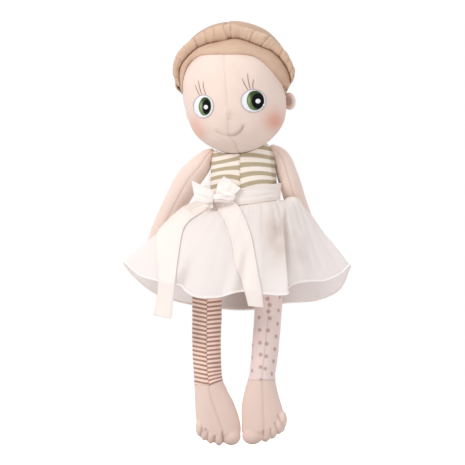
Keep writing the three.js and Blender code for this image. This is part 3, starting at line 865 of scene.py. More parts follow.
def make_ear(ear):
    bm = unit_ball(44, 32)
    dark = bm.verts.layers.float.new("painted_shade")
    for vert in bm.verts:
        n = vert.co.normalized()
        from_rim = 0.74 - sqrt((n.x + 0.16 * ear["away"]) ** 2 + n.z**2)
        press = smooth(from_rim / 0.34) if n.y < 0 else 0
        # Painted shade in the pressed-in hollow and along the rim.
        vert[dark] = 0.8 * press + 0.5 * bell(from_rim, 0.1) * (n.y < 0)
        rx, ry, rz = ear["radii"]
        vert.co = Vector(ear["centre"]) + Vector((n.x * rx, n.y * ry + ear["hollow"] * press, n.z * rz))
        vert.co += Vector((0, -0.25 * (vert.co.x - ear["centre"][0]), 0))
    map_front(bm)
    return bm


for side, ear in EARS.items():
    name, stuffed = f"ear_{side}", make_ear(ear)
    made = keep(name + "_cloth", stuffed, face_jersey, "head", [name], "skin_jersey", 0.7, levels=1, frame_matrix=HEAD)
    print(made.name, len(made.data.vertices), "points")

# %% [markdown]
# ## Hair cap
# The hair is cloth too. Behind the front roll the head wears a smooth cap in two halves, sewn along the
# middle. A ball is cut with a sloping plane for the front edge and the nape, and once more for the seam.

# %% Hair cap
HAIR_MIDDLE = Vector((0.5, 5, 14))
HAIR_SIZE = Vector((48.2, 45.3, 47.3))


def stuffed_cap(bm):
    """Spreads a cut of the unit ball over the back of the head, narrower towards the nape."""
    dark = bm.verts.layers.float.new("painted_shade")
    for vert in bm.verts:
        n = vert.co.normalized()
        lumps = 0.6 * noise.noise(Vector((n.x * 3, n.y * 3, n.z * 3)))
        seam = bell(n.x * HAIR_SIZE.x, 1.1)
        # Painted shade in the groove of the middle seam.
        vert[dark] = 0.45 * seam
        vert.co = HAIR_MIDDLE + Vector([n[i] * (HAIR_SIZE[i] + lumps - 0.7 * seam) for i in range(3)])
        vert.co.x *= 1 - (0.15 if n.x < 0 else 0.07) * smooth((13 - vert.co.z) / 12)
    map_front(bm)


def cap_ball():
    """The unit ball without its front, which the face fills, and without the nape."""
    bm = unit_ball(180, 120)
    cut_off(bm, (0, -9 / 45.3, -8 / 47.3), -Vector((0, 1, 0.29)).normalized())
    cut_off(bm, (0, -0.1, -0.34), (0, -0.62, -0.78))
    return bm


cap_right, cap_left = sides(cap_ball(), (0, 0, 0), (1, 0, 0))
for side, cap in (("right", cap_right), ("left", cap_left)):
    stuffed_cap(cap)
    name = f"hair_cap_{side}"
    made = keep(name + "_cloth", cap, shaded_cap_jersey, "head", [name], "hair_jersey", 0.9, thick=1.4, frame_matrix=HEAD)
    print(made.name, len(made.data.vertices), "points")

# %% [markdown]
# ## Hair band
# A flat band of the same jersey follows the hairline over the forehead and ends under the gathered roll. Both
# of its edges are measured in the photograph. The lower one lies on the face, which a ray cast finds, and the
# upper one is tucked under the roll. The Solidify modifier gives it the thickness of a doubled cloth.

# %% Hair band
HAIRLINE = [
    (182.5, 94.2), (183.0, 84), (184.2, 77), (186.2, 70.5), (189.2, 65), (192.8, 60.9),
    (198.4, 57.2), (205.5, 55.6), (215, 55.3), (226, 55.3), (236.4, 55.4), (247.1, 55.9),
    (255.4, 58), (262.4, 62.6), (269.5, 69.6), (275.7, 77), (281.6, 84.6), (286.6, 91.6),
]
TUCKED = [
    (180.0, 89.2), (178.8, 79.0), (179.0, 72), (180.4, 66), (184.0, 60.2), (190.6, 53.6),
    (198.9, 47), (207.9, 43.6), (217.4, 41.4), (226, 39), (238, 38.4), (248.8, 41.6),
    (259.6, 46), (270.4, 50.4), (279.6, 58), (286.6, 67.8), (290.4, 77.6), (291.0, 84.4),
]
BAND_STEPS = 200


def roll_depth(x, z):
    """How far forward the middle of the roll lies: level with the ears at the sides, further out on top."""
    local = HEAD.inverted() @ Vector((x, -14, z))
    angle = atan2(max(0, local.z - 6), local.x)
    return -6 - 0.139 * local.x + 0.99 * (-4 - 13 * sin(angle))


skin_depth = []
for i in range(BAND_STEPS + 1):
    x, z = seen(*along_line(HAIRLINE, i / BAND_STEPS))
    hit = head_tree.ray_cast(Vector((x, -200, z)), Vector((0, 1, 0)))[0]
    skin_depth.append(hit.y if hit else -8.0)
for _ in range(40):
    padded = [skin_depth[0], *skin_depth, skin_depth[-1]]
    skin_depth = [(before + here + after) / 3 for before, here, after in zip(padded, padded[1:], padded[2:])]


def band_place(u, v):
    """From the hairline on the skin (v = 0) to the tucked edge below the roll (v = 1)."""
    low, high = along_line(HAIRLINE, u), along_line(TUCKED, u)
    x, z = seen(*low)
    on_skin = Vector((x, skin_depth[round(BAND_STEPS * u)] - 0.4 - 0.9 * smooth(v / 0.1), z))
    x, z = seen(*high)
    tucked = Vector((x, roll_depth(x, z) + 0.3, z))
    bulge = Vector((0, -1, 0.35)) * (2.2 * sin(pi * min(1, v)) + 0.3 * noise.noise(Vector((u * 20, v * 2, 4))))
    return on_skin.lerp(tucked, v) + bulge


band = wrapped(BAND_STEPS, 20, band_place, (168, 14))
painted_shade = band.verts.layers.float.new("painted_shade")
# Painted shade: a dark line along the tucked edge under the roll, in the wrinkles, and along the hairline's edge.
for corner, (across, up) in corners(band):
    wrinkle = max(0, noise.noise(Vector((across * 0.12, up * 0.9, 7)))) * 0.25
    corner.vert[painted_shade] = 0.5 * smooth((up - 11.6) / 2.4) + wrinkle + 0.14 * bell(up - 1.3, 0.35)
face_front(band)
made = keep("hair_band_cloth", band, hair_jersey, "head", ["hair_band"], "hair_jersey", 0.2, thick=0.9)
print(made.name, "follows the hairline")

# %% [markdown]
# ## Gathered roll
# The front of the hair is a soft roll that is gathered every 7 mm or so, in three stretches. Its upper
# and lower edges are measured in the photograph, which gives its middle and its thickness at every point.
# The gathers are narrow dips in the radius, each of its own depth, with small wrinkles running out of them.

# %% Gathered roll
ROLLS = {
    "hair_roll_left": {
        "upper": [
            (223.6, 25.8), (213.2, 27.8), (203.7, 31.8), (193.5, 38.6), (183.5, 46.2),
            (176.8, 54.6), (173.6, 63.6), (172.8, 71.3), (174.4, 79), (178.8, 87.6),
        ],
        "lower": [
            (229.4, 40.6), (218, 42.2), (208.4, 44.0), (199.4, 47.3), (191.2, 53.0),
            (184.6, 59.8), (180.9, 66), (179.3, 72), (179.8, 79.5), (180.8, 87.0),
        ],
        "gathers": 8,
    },
    "hair_roll_middle": {
        "upper": [(222.6, 25.8), (231, 24.6), (242, 27.2), (255.4, 31.4), (268.5, 36.4), (278.6, 44.8)],
        "lower": [(224.4, 38.4), (231.4, 38.8), (240, 39.2), (250.2, 42.6), (260.4, 46.8), (272.2, 51.4)],
        "gathers": 5,
    },
    "hair_roll_right": {
        "upper": [(273.4, 41.2), (285.1, 51.0), (290.9, 60.8), (294.9, 71.3), (293.0, 81.8)],
        "lower": [(270.2, 50.0), (280.0, 58.4), (287.0, 68.2), (290.6, 78), (291.0, 83.2)],
        "gathers": 5,
    },
}


def puffs(seed, count):
    """The places of the gathers along a roll, from 0 to 1, unevenly spaced, each with its own depth."""
    places = [0.0]
    for g in range(count):
        places.append(places[-1] + 1 + 0.7 * noise.noise(Vector((g * 1.7, seed, 0))))
    depths = [0.35 + abs(noise.noise(Vector((g * 2.1, seed, 9)) * 1.3)) for g in range(count + 1)]
    return [(place / places[-1], depth) for place, depth in zip(places, depths)]


def make_roll(roll, seed):
    """A closed roll between its upper and lower edge; u runs round it and v along it."""
    gathers = puffs(seed, roll["gathers"])
    painted_shades = {}

    def puff_at(v, angle):
        """How full the roll is there, and how deep in a gather the point lies."""
        v += 0.010 * sin(angle + seed) + 0.008 * noise.noise(Vector((v * 14, seed, angle)))
        for (a, deep_a), (b, deep_b) in zip(gathers, gathers[1:]):
            if v <= b or b == 1:
                f = min(1, max(0, (v - a) / (b - a)))
                deep = deep_a + (deep_b - deep_a) * f
                hollow = 1 - sqrt(max(0, 1 - abs(2 * f - 1) ** 2.6))
                return 1 - 0.3 * deep * hollow, hollow * deep
        return 1, 0

    def place(u, v):
        end = sqrt(max(0, 1 - (1 - min(v, 1 - v) / 0.028) ** 2)) if min(v, 1 - v) < 0.028 else 1
        upper, lower = along_line(roll["upper"], v), along_line(roll["lower"], v)
        middle, reach = (upper + lower) / 2, (upper - lower).length / 2 * PIXEL
        x, z = seen(*middle)
        (ux, uz), (lx, lz) = seen(*upper), seen(*lower)
        up = Vector((ux - lx, 0, uz - lz)).normalized()
        angle = 2 * pi * u
        full, hollow = puff_at(v, angle)
        ripple = 0.09 * noise.noise(Vector((v * 30 + seed, cos(angle) * 1.1, sin(angle) * 1.1)))
        full += ripple + 0.05 * noise.noise(Vector((v * 9 + seed, 2, cos(angle))))
        keep_edge = 0.35 + 0.65 * abs(sin(angle)) if cos(angle) < 0 else 1
        r = reach * (1 - (1 - full) * keep_edge) * end * 1.03
        deep = max(reach, 4.2) * full * end
        point = Vector((x, roll_depth(x, z), z)) + up * (r * cos(angle)) + Vector((0, -deep * sin(angle), 0))
        under = smooth((-cos(angle) - 0.72) / 0.28)
        # Painted shade in the gathers, in the small wrinkles and on the underside of the roll.
        painted_shades[(round(u * 400), round(v * 9999))] = min(1, 0.72 * hollow**1.8 + 2.0 * max(0, -ripple) + 0.5 * under)
        return point

    girth, length = 30, 9.0 * roll["gathers"]
    bm = wrapped(40, 44 * roll["gathers"], place, (girth, length))
    dark = bm.verts.layers.float.new("painted_shade")
    for corner, (around, along) in corners(bm):
        corner.vert[dark] = painted_shades.get((round(around / girth * 400), round(along / length * 9999)), 0)
    bmesh.ops.remove_doubles(bm, verts=bm.verts, dist=0.001)
    bmesh.ops.recalc_face_normals(bm, faces=bm.faces)
    return bm


for number, (name, roll) in enumerate(ROLLS.items()):
    bm = make_roll(roll, 3.1 * number + 1)
    made = keep(name + "_cloth", bm, hair_jersey, "head", [name], "hair_jersey", 0.5)
    print(made.name, roll["gathers"], "gathers")

# %% [markdown]
# Where the roll is sewn down, its edge turns under and the crease between it and the band lies in narrow,
# deep shade. A thin dark cord lies in that crease as painted shadow.

# %% Shadow line under the roll
# The cord's dark brown is painted shadow, not a thread colour.
SHADOW_LINE = thread_material("crease_thread", shade_of(146, 104, 78), lean=1.2)
for name, roll in ROLLS.items():
    points = []
    for i in range(61):
        px, py = along_line(roll["lower"], i / 60)
        x, z = seen(px, py + 0.35)
        points.append(Vector((x, roll_depth(x, z) - 1.1, z)))
    keep(name + "_thread", cord_along(points, 0.34), SHADOW_LINE, "head", slot="hair_jersey")
print("rolls sewn down")

# %% [markdown]
# ## Neck
# The neck is a short stuffed tube that the chin hides. It is a spun profile line in skin jersey.

# %% Neck
NECK_PROFILE = [(0.3, 0), (8.2, 0.6), (10.8, 3), (11, 7), (10.8, 11), (10.4, 14)]


def make_neck():
    bm = bmesh.new()
    line = [bm.verts.new((-1 + r, 3, 229.5 + z)) for r, z in NECK_PROFILE]
    edges = [bm.edges.new(pair) for pair in zip(line, line[1:])]
    bmesh.ops.spin(bm, geom=line + edges, cent=(-1, 3, 0), axis=(0, 0, 1), angle=2 * pi, steps=40, use_merge=True)
    bmesh.ops.remove_doubles(bm, verts=bm.verts, dist=0.01)
    bmesh.ops.recalc_face_normals(bm, faces=bm.faces)
    map_front(bm)
    return bm


print(keep("neck_cloth", make_neck(), limb_jersey, "neck", ["neck"], "skin_jersey", 0.9, levels=1).name)

# %% [markdown]
# ## Stuffed bags
# A limb or a trunk is a bag: rings of cloth along a curved line, closed by a dome at each end. The flat
# grid is rolled up with u round the bag and v along it. Stations give x, y, z, half width and half depth
# in mm. At u = 0.25 and 0.75 the two pattern pieces are sewn together, and the seams pull the cloth in.

# %% Stuffed bags
DOME = 1.35  # how much longer the cloth over a dome is than the dome is high


def bag(stations, start, end, squareness=0.0, lumps=0.35, seams=0.5):
    """Returns place(u, v) for a bag, and its length in mm.

    u = 0 is the right side, 0.25 the back and 0.75 the front. start and end are the heights of the domes.
    """
    spans = [(Vector(b[:3]) - Vector(a[:3])).length for a, b in zip(stations, stations[1:])]
    straight = sum(spans)
    total = DOME * start + straight + DOME * end

    def share(s):
        for i, span in enumerate(spans):
            if s <= span or i == len(spans) - 1:
                return (i + min(1, s / span)) / len(spans)
            s -= span

    def place(u, v):
        s = v * total - DOME * start
        if s < 0:
            angle = (s / (DOME * start) + 1) * pi / 2
            t, beyond, narrow = 0, -start * cos(angle), sin(angle)
        elif s > straight:
            angle = (1 - (s - straight) / (DOME * end)) * pi / 2
            t, beyond, narrow = 1, end * cos(angle), sin(angle)
        else:
            t, beyond, narrow = share(s), 0, 1
        x, y, z, wide, deep = along_line(stations, t)
        ahead, behind = along_line(stations, min(1, t + 0.01)), along_line(stations, max(0, t - 0.01))
        along = Vector(ahead[:3]) - Vector(behind[:3])
        along.normalize()
        across = Vector((0, 1, 0)).cross(-along).normalized()
        across *= 1 if across.x > 0 else -1
        depth = along.cross(across).normalized()
        depth *= 1 if depth.y > 0 else -1
        angle = 2 * pi * u
        c, q = cos(angle), sin(angle)
        pull = seams * bell(c * wide, 1.0)
        bulge = 1 + squareness * (abs(c * q)) - pull / max(wide, 1)
        point = Vector((x, y, z)) + along * beyond
        point += (across * (wide * c) + depth * (deep * q)) * narrow * bulge
        out = (across * c + depth * q).normalized()
        return point + out * narrow * lumps * noise.noise(point * 0.09)

    return place, total


def whole_bag(place, length, around):
    """The bag as one closed skin."""
    return wrapped(40, ceil(length * 0.6), place, (around, length), closed=True)


def half_bag(place, length, around, first, columns=30, per_mm=0.8):
    """One of the two cloth pieces of a bag: u runs half way round from first, with rows of faces per mm."""
    bm = wrapped(columns, ceil(length * per_mm), lambda u, v: place(first + u / 2, v), (around / 2, length))
    painted_shade = bm.verts.layers.float.new("painted_shade")
    # Painted shade in the groove of the seam along both long edges.
    for corner, (across, _) in corners(bm):
        corner.vert[painted_shade] = 0.42 * bell(min(across, around / 2 - across), 0.55)
    bmesh.ops.remove_doubles(bm, verts=bm.verts, dist=0.005)
    return bm


def face_out(bm, inside):
    """Turns the faces of an open piece so that they look away from a point inside."""
    bm.normal_update()
    outward = sum((f.calc_center_median() - Vector(inside)).dot(f.normal) * f.calc_area() for f in bm.faces)
    if outward < 0:
        bmesh.ops.reverse_faces(bm, faces=bm.faces)
    return bm


print("bags ready")

# %% [markdown]
# ## Bodice
# The trunk is covered by striped jersey: two front halves and a back. The stripes don't meet at the front
# seam and sag a little towards it, which is what makes the real one look sewn. Their heights are measured
# in the photograph at three places across each half, and the mesh carries them as the attribute `stripe`.
# The top is hollowed where the head rests on it.

# %% Bodice
TRUNK = [
    (2.0, 0, 186.95, 26.6, 18.6),
    (2.0, 0, 200, 27, 19.2),
    (2.1, 0, 212, 27.3, 19.6),
    (1.9, 0, 224, 27.0, 18.2),
    (1.7, 0, 234, 26.0, 16.0),
    (1.4, 1.5, 242, 24.4, 14.2),
    (1.0, 3.5, 248, 19.4, 11.4),
]
# Pixel columns, each with the rows at which khaki stripes 0, 1, 2, 3 ... are centred
STRIPES = {
    "right": [
        (240.5, (154.5, 165.4, 175.9, 187.1)),
        (256.6, (155.5, 164.4, 173.2, 182.3)),
        (271.6, (158.2, 165.7, 174.8, 181.8)),
    ],
    "left": [
        (213.7, (155.5, 163.6, 170.8, 178.3, 186.6)),
        (227.1, (152.8, 160.9, 168.4, 176.4, 185.4)),
        (240.5, (148.4, 157.7, 167.6, 179.2, 188.2)),
    ],
}
STRIPE_STEP = 8.8  # pixels from one stripe to the next above and below the measured ones
SEAM_X = -0.8  # mm; where the two front halves meet
# The form that the head presses into the trunk: its middle, and its radii across, deep and high, in mm
PRESSED_MIDDLE = (-5.2, -6, 288.2)
PRESSED_RADII = (42.4, 43.2, 48.1)


def stripe_number(side, point):
    """Counts khaki stripes downwards; a whole number is the middle of a stripe.

    A curve through the three measured columns gives every stripe's row in between.
    """
    px, py = pixel(point)
    (a, at_a), (b, at_b), (c, at_c) = STRIPES[side]
    px = min(max(px, a - 3), c + 3)
    share_a, share_b = (px - b) * (px - c) / ((a - b) * (a - c)), (px - a) * (px - c) / ((b - a) * (b - c))
    share_c = 1 - share_a - share_b
    rows = [share_a * ra + share_b * rb + share_c * rc for ra, rb, rc in zip(at_a, at_b, at_c)]
    if py <= rows[0]:
        return (py - rows[0]) / STRIPE_STEP
    for k, (a, b) in enumerate(zip(rows, rows[1:])):
        if py <= b:
            return k + (py - a) / (b - a)
    return len(rows) - 1 + (py - rows[-1]) / STRIPE_STEP


def under_head(point, clear=0.0):
    """Presses a point of the trunk down where the head rests on it, with more room behind the head."""
    room = 3.5 * smooth((point.y + 2) / 12) + 0.06 * max(0, -point.y - 6) + 0.05 + clear
    x, y, z = PRESSED_MIDDLE
    wide, deep, high = (radius + room for radius in PRESSED_RADII)
    across = ((point.x - x) / wide) ** 2 + ((point.y - y) / deep) ** 2
    if across < 1:
        ceiling = z - high * sqrt(1 - across)
        if point.z > ceiling:
            return Vector((point.x, point.y, ceiling - 0.25 * smooth((point.z - ceiling) / 6)))
    return point


trunk, trunk_length = bag(TRUNK, 3, 5, squareness=0.05, seams=0)


def bodice_piece(first, share, columns, side):
    """The part of the trunk's cloth that starts at first and takes that share of a turn."""
    place = lambda u, v: under_head(trunk(first + u * share, v))
    bm = wrapped(columns, 96, place, (148 * share, trunk_length))
    mark(bm, "stripe", (lambda p: (238 - p.z) / 7.2) if side == "back" else (lambda p: stripe_number(side, p)))
    painted_shade = bm.verts.layers.float.new("painted_shade")
    for vert in bm.verts:
        x, z = vert.co.x, vert.co.z
        # Painted shade along the front seam and in the armhole, and painted shadow under the chin, where the head
        # shades the bodice.
        middle = bell(x - SEAM_X, 0.8) if side != "back" else 0
        armhole = smooth((x - 21.5 - (247 - z) * 0.1) / 3) * smooth((z - 206) / 10) if vert.co.y < 4 else 0
        chin = smooth((z - 241.5 - 0.22 * abs(x + 1)) / 5) if vert.co.y < 2 else 0
        vert[painted_shade] = min(1, 0.3 * middle + 0.45 * armhole + 0.55 * chin)
        vert.co.y += 0.5 * middle
    bmesh.ops.remove_doubles(bm, verts=bm.verts, dist=0.005)
    return face_out(bm, (2, 2, 215))


inner_trunk, _ = bag([(x, y, z, wide - 1.8, deep - 1.8) for x, y, z, wide, deep in TRUNK], 2, 3, seams=0)
filling = whole_bag(lambda u, v: under_head(inner_trunk(u, v), 4.5), trunk_length, 148)
made = keep("torso_filling", filling, fibre, "torso", ["torso_stuffing"], "stuffing_fibre")
print(made.name, "lies inside the bodice")


def stripes(tree, where, colour):
    """Khaki stripes where the mesh counts a whole number."""
    turn = maths(tree, "FRACT", maths(tree, "ADD", marked(tree, "stripe"), 100.5))
    off = maths(tree, "ABSOLUTE", maths(tree, "SUBTRACT", turn, 0.5))
    return mixed(tree, fade(tree, off, 0.2, 0.28, 1.0, 0.0), colour, shade_of(186, 171, 142))


# The colour of the bodice's painted shade and shadow.
BODICE_SHADE = (0.5, 0.42, 0.36, 1)
bodice_jersey = cloth("bodice_jersey", shade_of(248, 238, 226), pattern=stripes, relief=0.14, painted_shade=BODICE_SHADE)
seam_at = 0.75 + (SEAM_X - 2.0) / 27 / (2 * pi)  # the share of a turn at which the front seam lies
# Each piece: where it starts, its share of a turn, its columns of faces, and which stripes it has
pieces = {
    "bodice_front_right": (seam_at, 1 - seam_at, 56, "right"),
    "bodice_front_left": (0.5, seam_at - 0.5, 56, "left"),
    "bodice_back": (0.0, 0.5, 90, "back"),
}
for name, (first, share, columns, side) in pieces.items():
    piece = bodice_piece(first, share, columns, side)
    made = keep(name + "_cloth", piece, bodice_jersey, "torso", [name], "bodice_stripe", 0.8)
    print(made.name, len(made.data.vertices), "points")

# %% [markdown]
# ## Fused forms
# Hands and feet have fingers and toes that flow into one another. For the feet, the parts are made as simple
# balls and bags and then fused by a voxel Remesh modifier, which wraps one even skin round them all.
# `smooth_vert` takes the steps out, and the creases between the toes are pressed in afterwards.

# %% Fused forms


def ball_at(bm, centre, radii):
    """Adds an oval ball to the mesh."""
    made = bmesh.ops.create_uvsphere(bm, u_segments=20, v_segments=14, radius=1)["verts"]
    for vert in made:
        vert.co = Vector((vert.co.x * radii[0], vert.co.y * radii[1], vert.co.z * radii[2])) + Vector(centre)


def fused(bm, voxel):
    """One closed skin round everything in the mesh, with faces of about the voxel's size in mm."""
    mesh = bpy.data.meshes.new("to fuse")
    bm.to_mesh(mesh)
    bm.free()
    obj = bpy.data.objects.new("to fuse", mesh)
    bpy.context.scene.collection.objects.link(obj)
    wrap = obj.modifiers.new("wrap", "REMESH")
    wrap.mode = "VOXEL"
    wrap.voxel_size = voxel
    bpy.context.view_layer.update()
    skin = bpy.data.meshes.new_from_object(obj.evaluated_get(bpy.context.evaluated_depsgraph_get()))
    result = bmesh.new()
    result.from_mesh(skin)
    bpy.data.objects.remove(obj)
    bpy.data.meshes.remove(mesh)
    bpy.data.meshes.remove(skin)
    for _ in range(4):
        bmesh.ops.smooth_vert(result, verts=result.verts, factor=0.5, use_axis_x=True, use_axis_y=True, use_axis_z=True)
    return result


print("fusing ready")

# %% [markdown]
# ## Arms
# An arm is a long bag that hangs from the shoulder and goes behind the skirt. It is sewn from an outer and
# an inner piece, whose front seam is seen all the way down. The hand has three fingers and a thumb, each a
# small ball sewn into the end of the bag.

# %% Arms
ARMS = {
    "left": [
        (-24.4, 2, 242.4, 3.0, 4.6),
        (-28.4, 2, 238.4, 5.8, 6.8),
        (-33.6, 3, 230.8, 9.0, 8.6),
        (-42.8, 7, 219.8, 10.3, 8.8),
        (-51.4, 14, 205, 9.9, 8.4),
        (-61.6, 24, 184.5, 9.4, 7.8),
        (-68.0, 30, 169, 8.8, 7),
        (-72.6, 33, 156, 9.4, 6.2),
    ],
    "right": [
        (25.6, 3, 245.4, 3.4, 4.8),
        (31.2, 2.5, 240.2, 6.2, 7.0),
        (35.4, 2, 232.4, 7.6, 8.4),
        (38.2, 3.5, 223, 8.6, 8.6),
        (40.6, 6, 215.5, 8.8, 8.4),
        (43.8, 12, 205, 8.8, 8.0),
        (51.0, 24, 184, 8.8, 7.4),
        (56.0, 31, 166, 8.4, 6.8),
        (58.8, 33, 156, 9.4, 6.2),
    ],
}
# Where the bend of each sewn end starts and ends
SHOULDER = {"left": ((-26.5, 3, 240.5), (-37, 3, 227)), "right": ((28.5, 3, 243), (36.4, 3, 229.5))}


def shoulder_bend(side):
    """The sewn end of an arm stays with the trunk, and the cloth turns smoothly over the next 15 mm."""
    start, end = (TO_FRAME @ Vector(point) for point in SHOULDER[side])
    return "torso", f"arm_{side}", tuple(start), tuple(end)


def sew_fingers(bm, which, palm, away):
    """Adds two of the balls to half of an arm, the thumb to the inner one, and maps them from the front."""
    x, y, z = palm[0] + away * 1.5, palm[1], palm[2] - 7
    fingers = [((x + i * 4.6 * away, y, z + abs(i) * 1.5), (3.1, 5.2, 7)) for i in (-1, 0, 1)]
    fingers.append(((x - 8.6 * away, y - 1, z + 12), (3.3, 4.4, 8)))
    inner = [fingers[0], fingers[3]]
    for centre, radii in (inner if which == "inner" else fingers[1:3]):
        ball_at(bm, centre, radii)
    for corner, flat in corners(bm):
        if flat.length == 0:
            flat.xy = corner.vert.co.xz


for side, stations in ARMS.items():
    away = -1 if side == "left" else 1
    body, bend = f"arm_{side}", shoulder_bend(side)
    place, length = bag(stations, 2.6, 6)
    starts = {"outer": 0.25, "inner": 0.75} if side == "left" else {"outer": 0.75, "inner": 0.25}
    for which, first in starts.items():
        half = half_bag(place, length, 54, first)
        face_out(half, stations[2][:3])
        sew_fingers(half, which, stations[-1], away)
        name = f"arm_{side}_{which}_skin"
        made = keep(name + "_cloth", half, limb_jersey, body, [name], "skin_jersey", 0.75, levels=1, blend=bend)
        print(made.name, round(length), "mm long")
    thinner = [(x, y, z, wide - 1.5, deep - 1.5) for x, y, z, wide, deep in stations[1:]]
    filling = whole_bag(*bag(thinner, 2, 3, seams=0), 54)
    keep(f"arm_{side}_filling", filling, fibre, body, [f"arm_{side}_stuffing"], "stuffing_fibre", blend=bend)

# %% [markdown]
# ## Legs
# Both legs are tubes of patterned jersey that end at the ankle, where the bare foot begins. Each tube has a
# right and a left half with a seam down the front. The left leg has fine reddish-brown stripes that form
# shallow chevrons at the seam, the right one brown dots in staggered rows on a rosy ground.

# %% Leg patterns


def fine_stripes(tree, where, colour):
    """Reddish-brown stripes where the mesh counts half a number; a noise makes their colour uneven."""
    turn = maths(tree, "FRACT", marked(tree, "stripe"))
    off = maths(tree, "ABSOLUTE", maths(tree, "SUBTRACT", turn, 0.5))
    edge = fade(tree, off, 0.17, 0.3, 1.0, 0.0)
    worn = fade(tree, noise_of(tree, where, 0.7, Detail=2.0), 0.2, 0.6, 0.72, 0.95)
    return mixed(tree, maths(tree, "MULTIPLY", edge, worn), colour, shade_of(158, 114, 100))


def brown_dots(tree, where, colour):
    """Dots where the mesh says how far the nearest one is, in mm; a noise frays their edges."""
    rough = noise_of(tree, where, 1.1)
    reach = maths(tree, "ADD", marked(tree, "to_dot"), maths(tree, "MULTIPLY", rough, 0.8))
    return mixed(tree, fade(tree, reach, 1.55, 2.6, 0.62, 0.0), colour, shade_of(166, 120, 98))


# The dots of the right leg as pixels of the photograph: its left edge, two columns and the right one
DOT_PIXELS = [
    (252.4, 345.1), (251.7, 357.3), (251.4, 370.6), (252.8, 332.6), (253.2, 320), (253.4, 307.5),
    (259.1, 317.3), (259.6, 329.8), (259.9, 342.6), (260.4, 354.5), (260.4, 367), (261.1, 380), (258.8, 304.6),
    (267.2, 298.7), (269.8, 304.8), (268.3, 311.4), (269.8, 318.1), (268, 330.3), (266.7, 343.6), (266.2, 356.1),
    (265.2, 368.6),
    (279.5, 296.9), (278.5, 310.4), (277.4, 323.7), (276.2, 336.4), (274.9, 349), (273.9, 361.1), (272.3, 373.7),
]
DOTS = [Vector(seen(*dot)) for dot in DOT_PIXELS]


def to_dot(point, leg):
    """How far the nearest dot is, in mm. Behind, the same dots are mirrored and moved down half a row."""
    x, z, turn = point.x, point.z, 1
    middle = between(z, [(station[2], station[0]) for station in reversed(leg)])
    if point.y > 0:
        x, z, turn = 2 * middle - x, z + 5, -1
    z = (z - 60) % 66 + 60 if z > 126 else z  # the rows repeat where the skirt hides the leg
    nearest = 9.0
    for dot in DOTS:
        if abs(dot.y - z) < 4:
            depth = 10.8 * sqrt(1 - min(1, abs(dot.x - middle) / 11.2) ** 2)
            nearest = min(nearest, Vector((x - dot.x, point.y * turn + depth, z - dot.y)).length)
    return nearest


stripe_jersey = cloth("stripe_jersey", shade_of(248, 220, 204), pattern=fine_stripes, relief=0.14)
dot_jersey = cloth("dot_jersey", shade_of(236, 217, 211), pattern=brown_dots, relief=0.14)
print(len(DOTS), "dots measured")

# %% [markdown]
# The leg is one bag from hip to toes, as in the photograph. Only its upper part is patterned, so the tube
# halves stop at the ankle and the foot is made from the same bag below it, with the toes fused on. Stations
# and toes are in mm. The foot's seam and the grooves between its toes are lines of pixels.

# %% Legs and feet
LEGS = {
    "left": {
        "jersey": stripe_jersey,
        "slot": "leg_stripe",
        "ankle": 50.3,
        "cuff": (-25.8, 0, 50.0),
        "cuff_normal": {"left": Vector((-0.06, 0, -1)).normalized(), "right": Vector((0.42, 0, -1)).normalized()},
        "stations": [
            (-27.9, 0, 134.7, 12.2, 11.4),
            (-28.0, 0, 110, 12.1, 11),
            (-28.2, 0, 80, 11.7, 10.6),
            (-27.0, 0, 56, 11.6, 10.2),
            (-24.6, 0, 43, 14.0, 10.2),
            (-21.2, 0, 30, 16.8, 9.8),
            (-18.4, 0, 17, 18.1, 8.8),
            (-18.0, 0, 10.5, 17.8, 8),
        ],
        "toes": [
            (-8.0, -1, 8.4, 8.0),
            (-18.2, -1, 8, 4.3),
            (-25, -1, 9.6, 3.9),
            (-30.2, -1, 12.2, 3.7),
            (-34, -1, 15.6, 3.6),
        ],
        "seam": [(208.7, 386), (211, 397), (214.4, 408), (218, 418), (222.3, 429), (222.6, 438)],
        "grooves": [
            ((222.6, 432), (223.6, 447)),
            ((215.2, 436), (214.2, 444.5)),
            ((208.2, 432), (207.2, 441)),
            ((202.2, 428), (200.6, 437)),
        ],
    },
    "right": {
        "jersey": dot_jersey,
        "slot": "leg_dots",
        "ankle": 54.8,
        "cuff": (17.5, 0, 54.6),
        "cuff_normal": {"left": Vector((0.04, 0, -1)).normalized(), "right": Vector((-0.04, 0, -1)).normalized()},
        "stations": [
            (22.9, 0, 134.7, 11.4, 11.4),
            (22.2, 0, 110, 11.2, 11),
            (19.8, 0, 80, 10.9, 10.6),
            (17.5, 0, 58, 10.7, 10.2),
            (16.6, 0, 44, 14.2, 10.2),
            (16.9, 0, 33, 16.7, 9.8),
            (17.9, 0, 23, 17.7, 9.2),
            (18.2, 0, 13, 17.9, 8),
        ],
        "toes": [
            (9.4, -1, 9.0, 8.7),
            (20.2, -1, 11, 4.5),
            (26, -1, 13.6, 3.9),
            (31, -1, 17.4, 3.8),
            (34.4, -1, 22, 3.6),
        ],
        "seam": [(262.3, 381), (262.8, 395), (263.3, 410), (263.8, 424), (264, 436)],
        "grooves": [
            ((263.2, 431), (264.2, 443.5)),
            ((270.4, 429), (272.2, 440)),
            ((274.8, 423), (278.4, 433.5)),
            ((277.6, 415.5), (282.8, 425)),
        ],
    },
}


LEG_STRIPE = 3.58  # mm from one fine stripe to the next
HIP_DOME, TOE_DOME, LEG_ROUND = 11.6, 4, 72  # mm


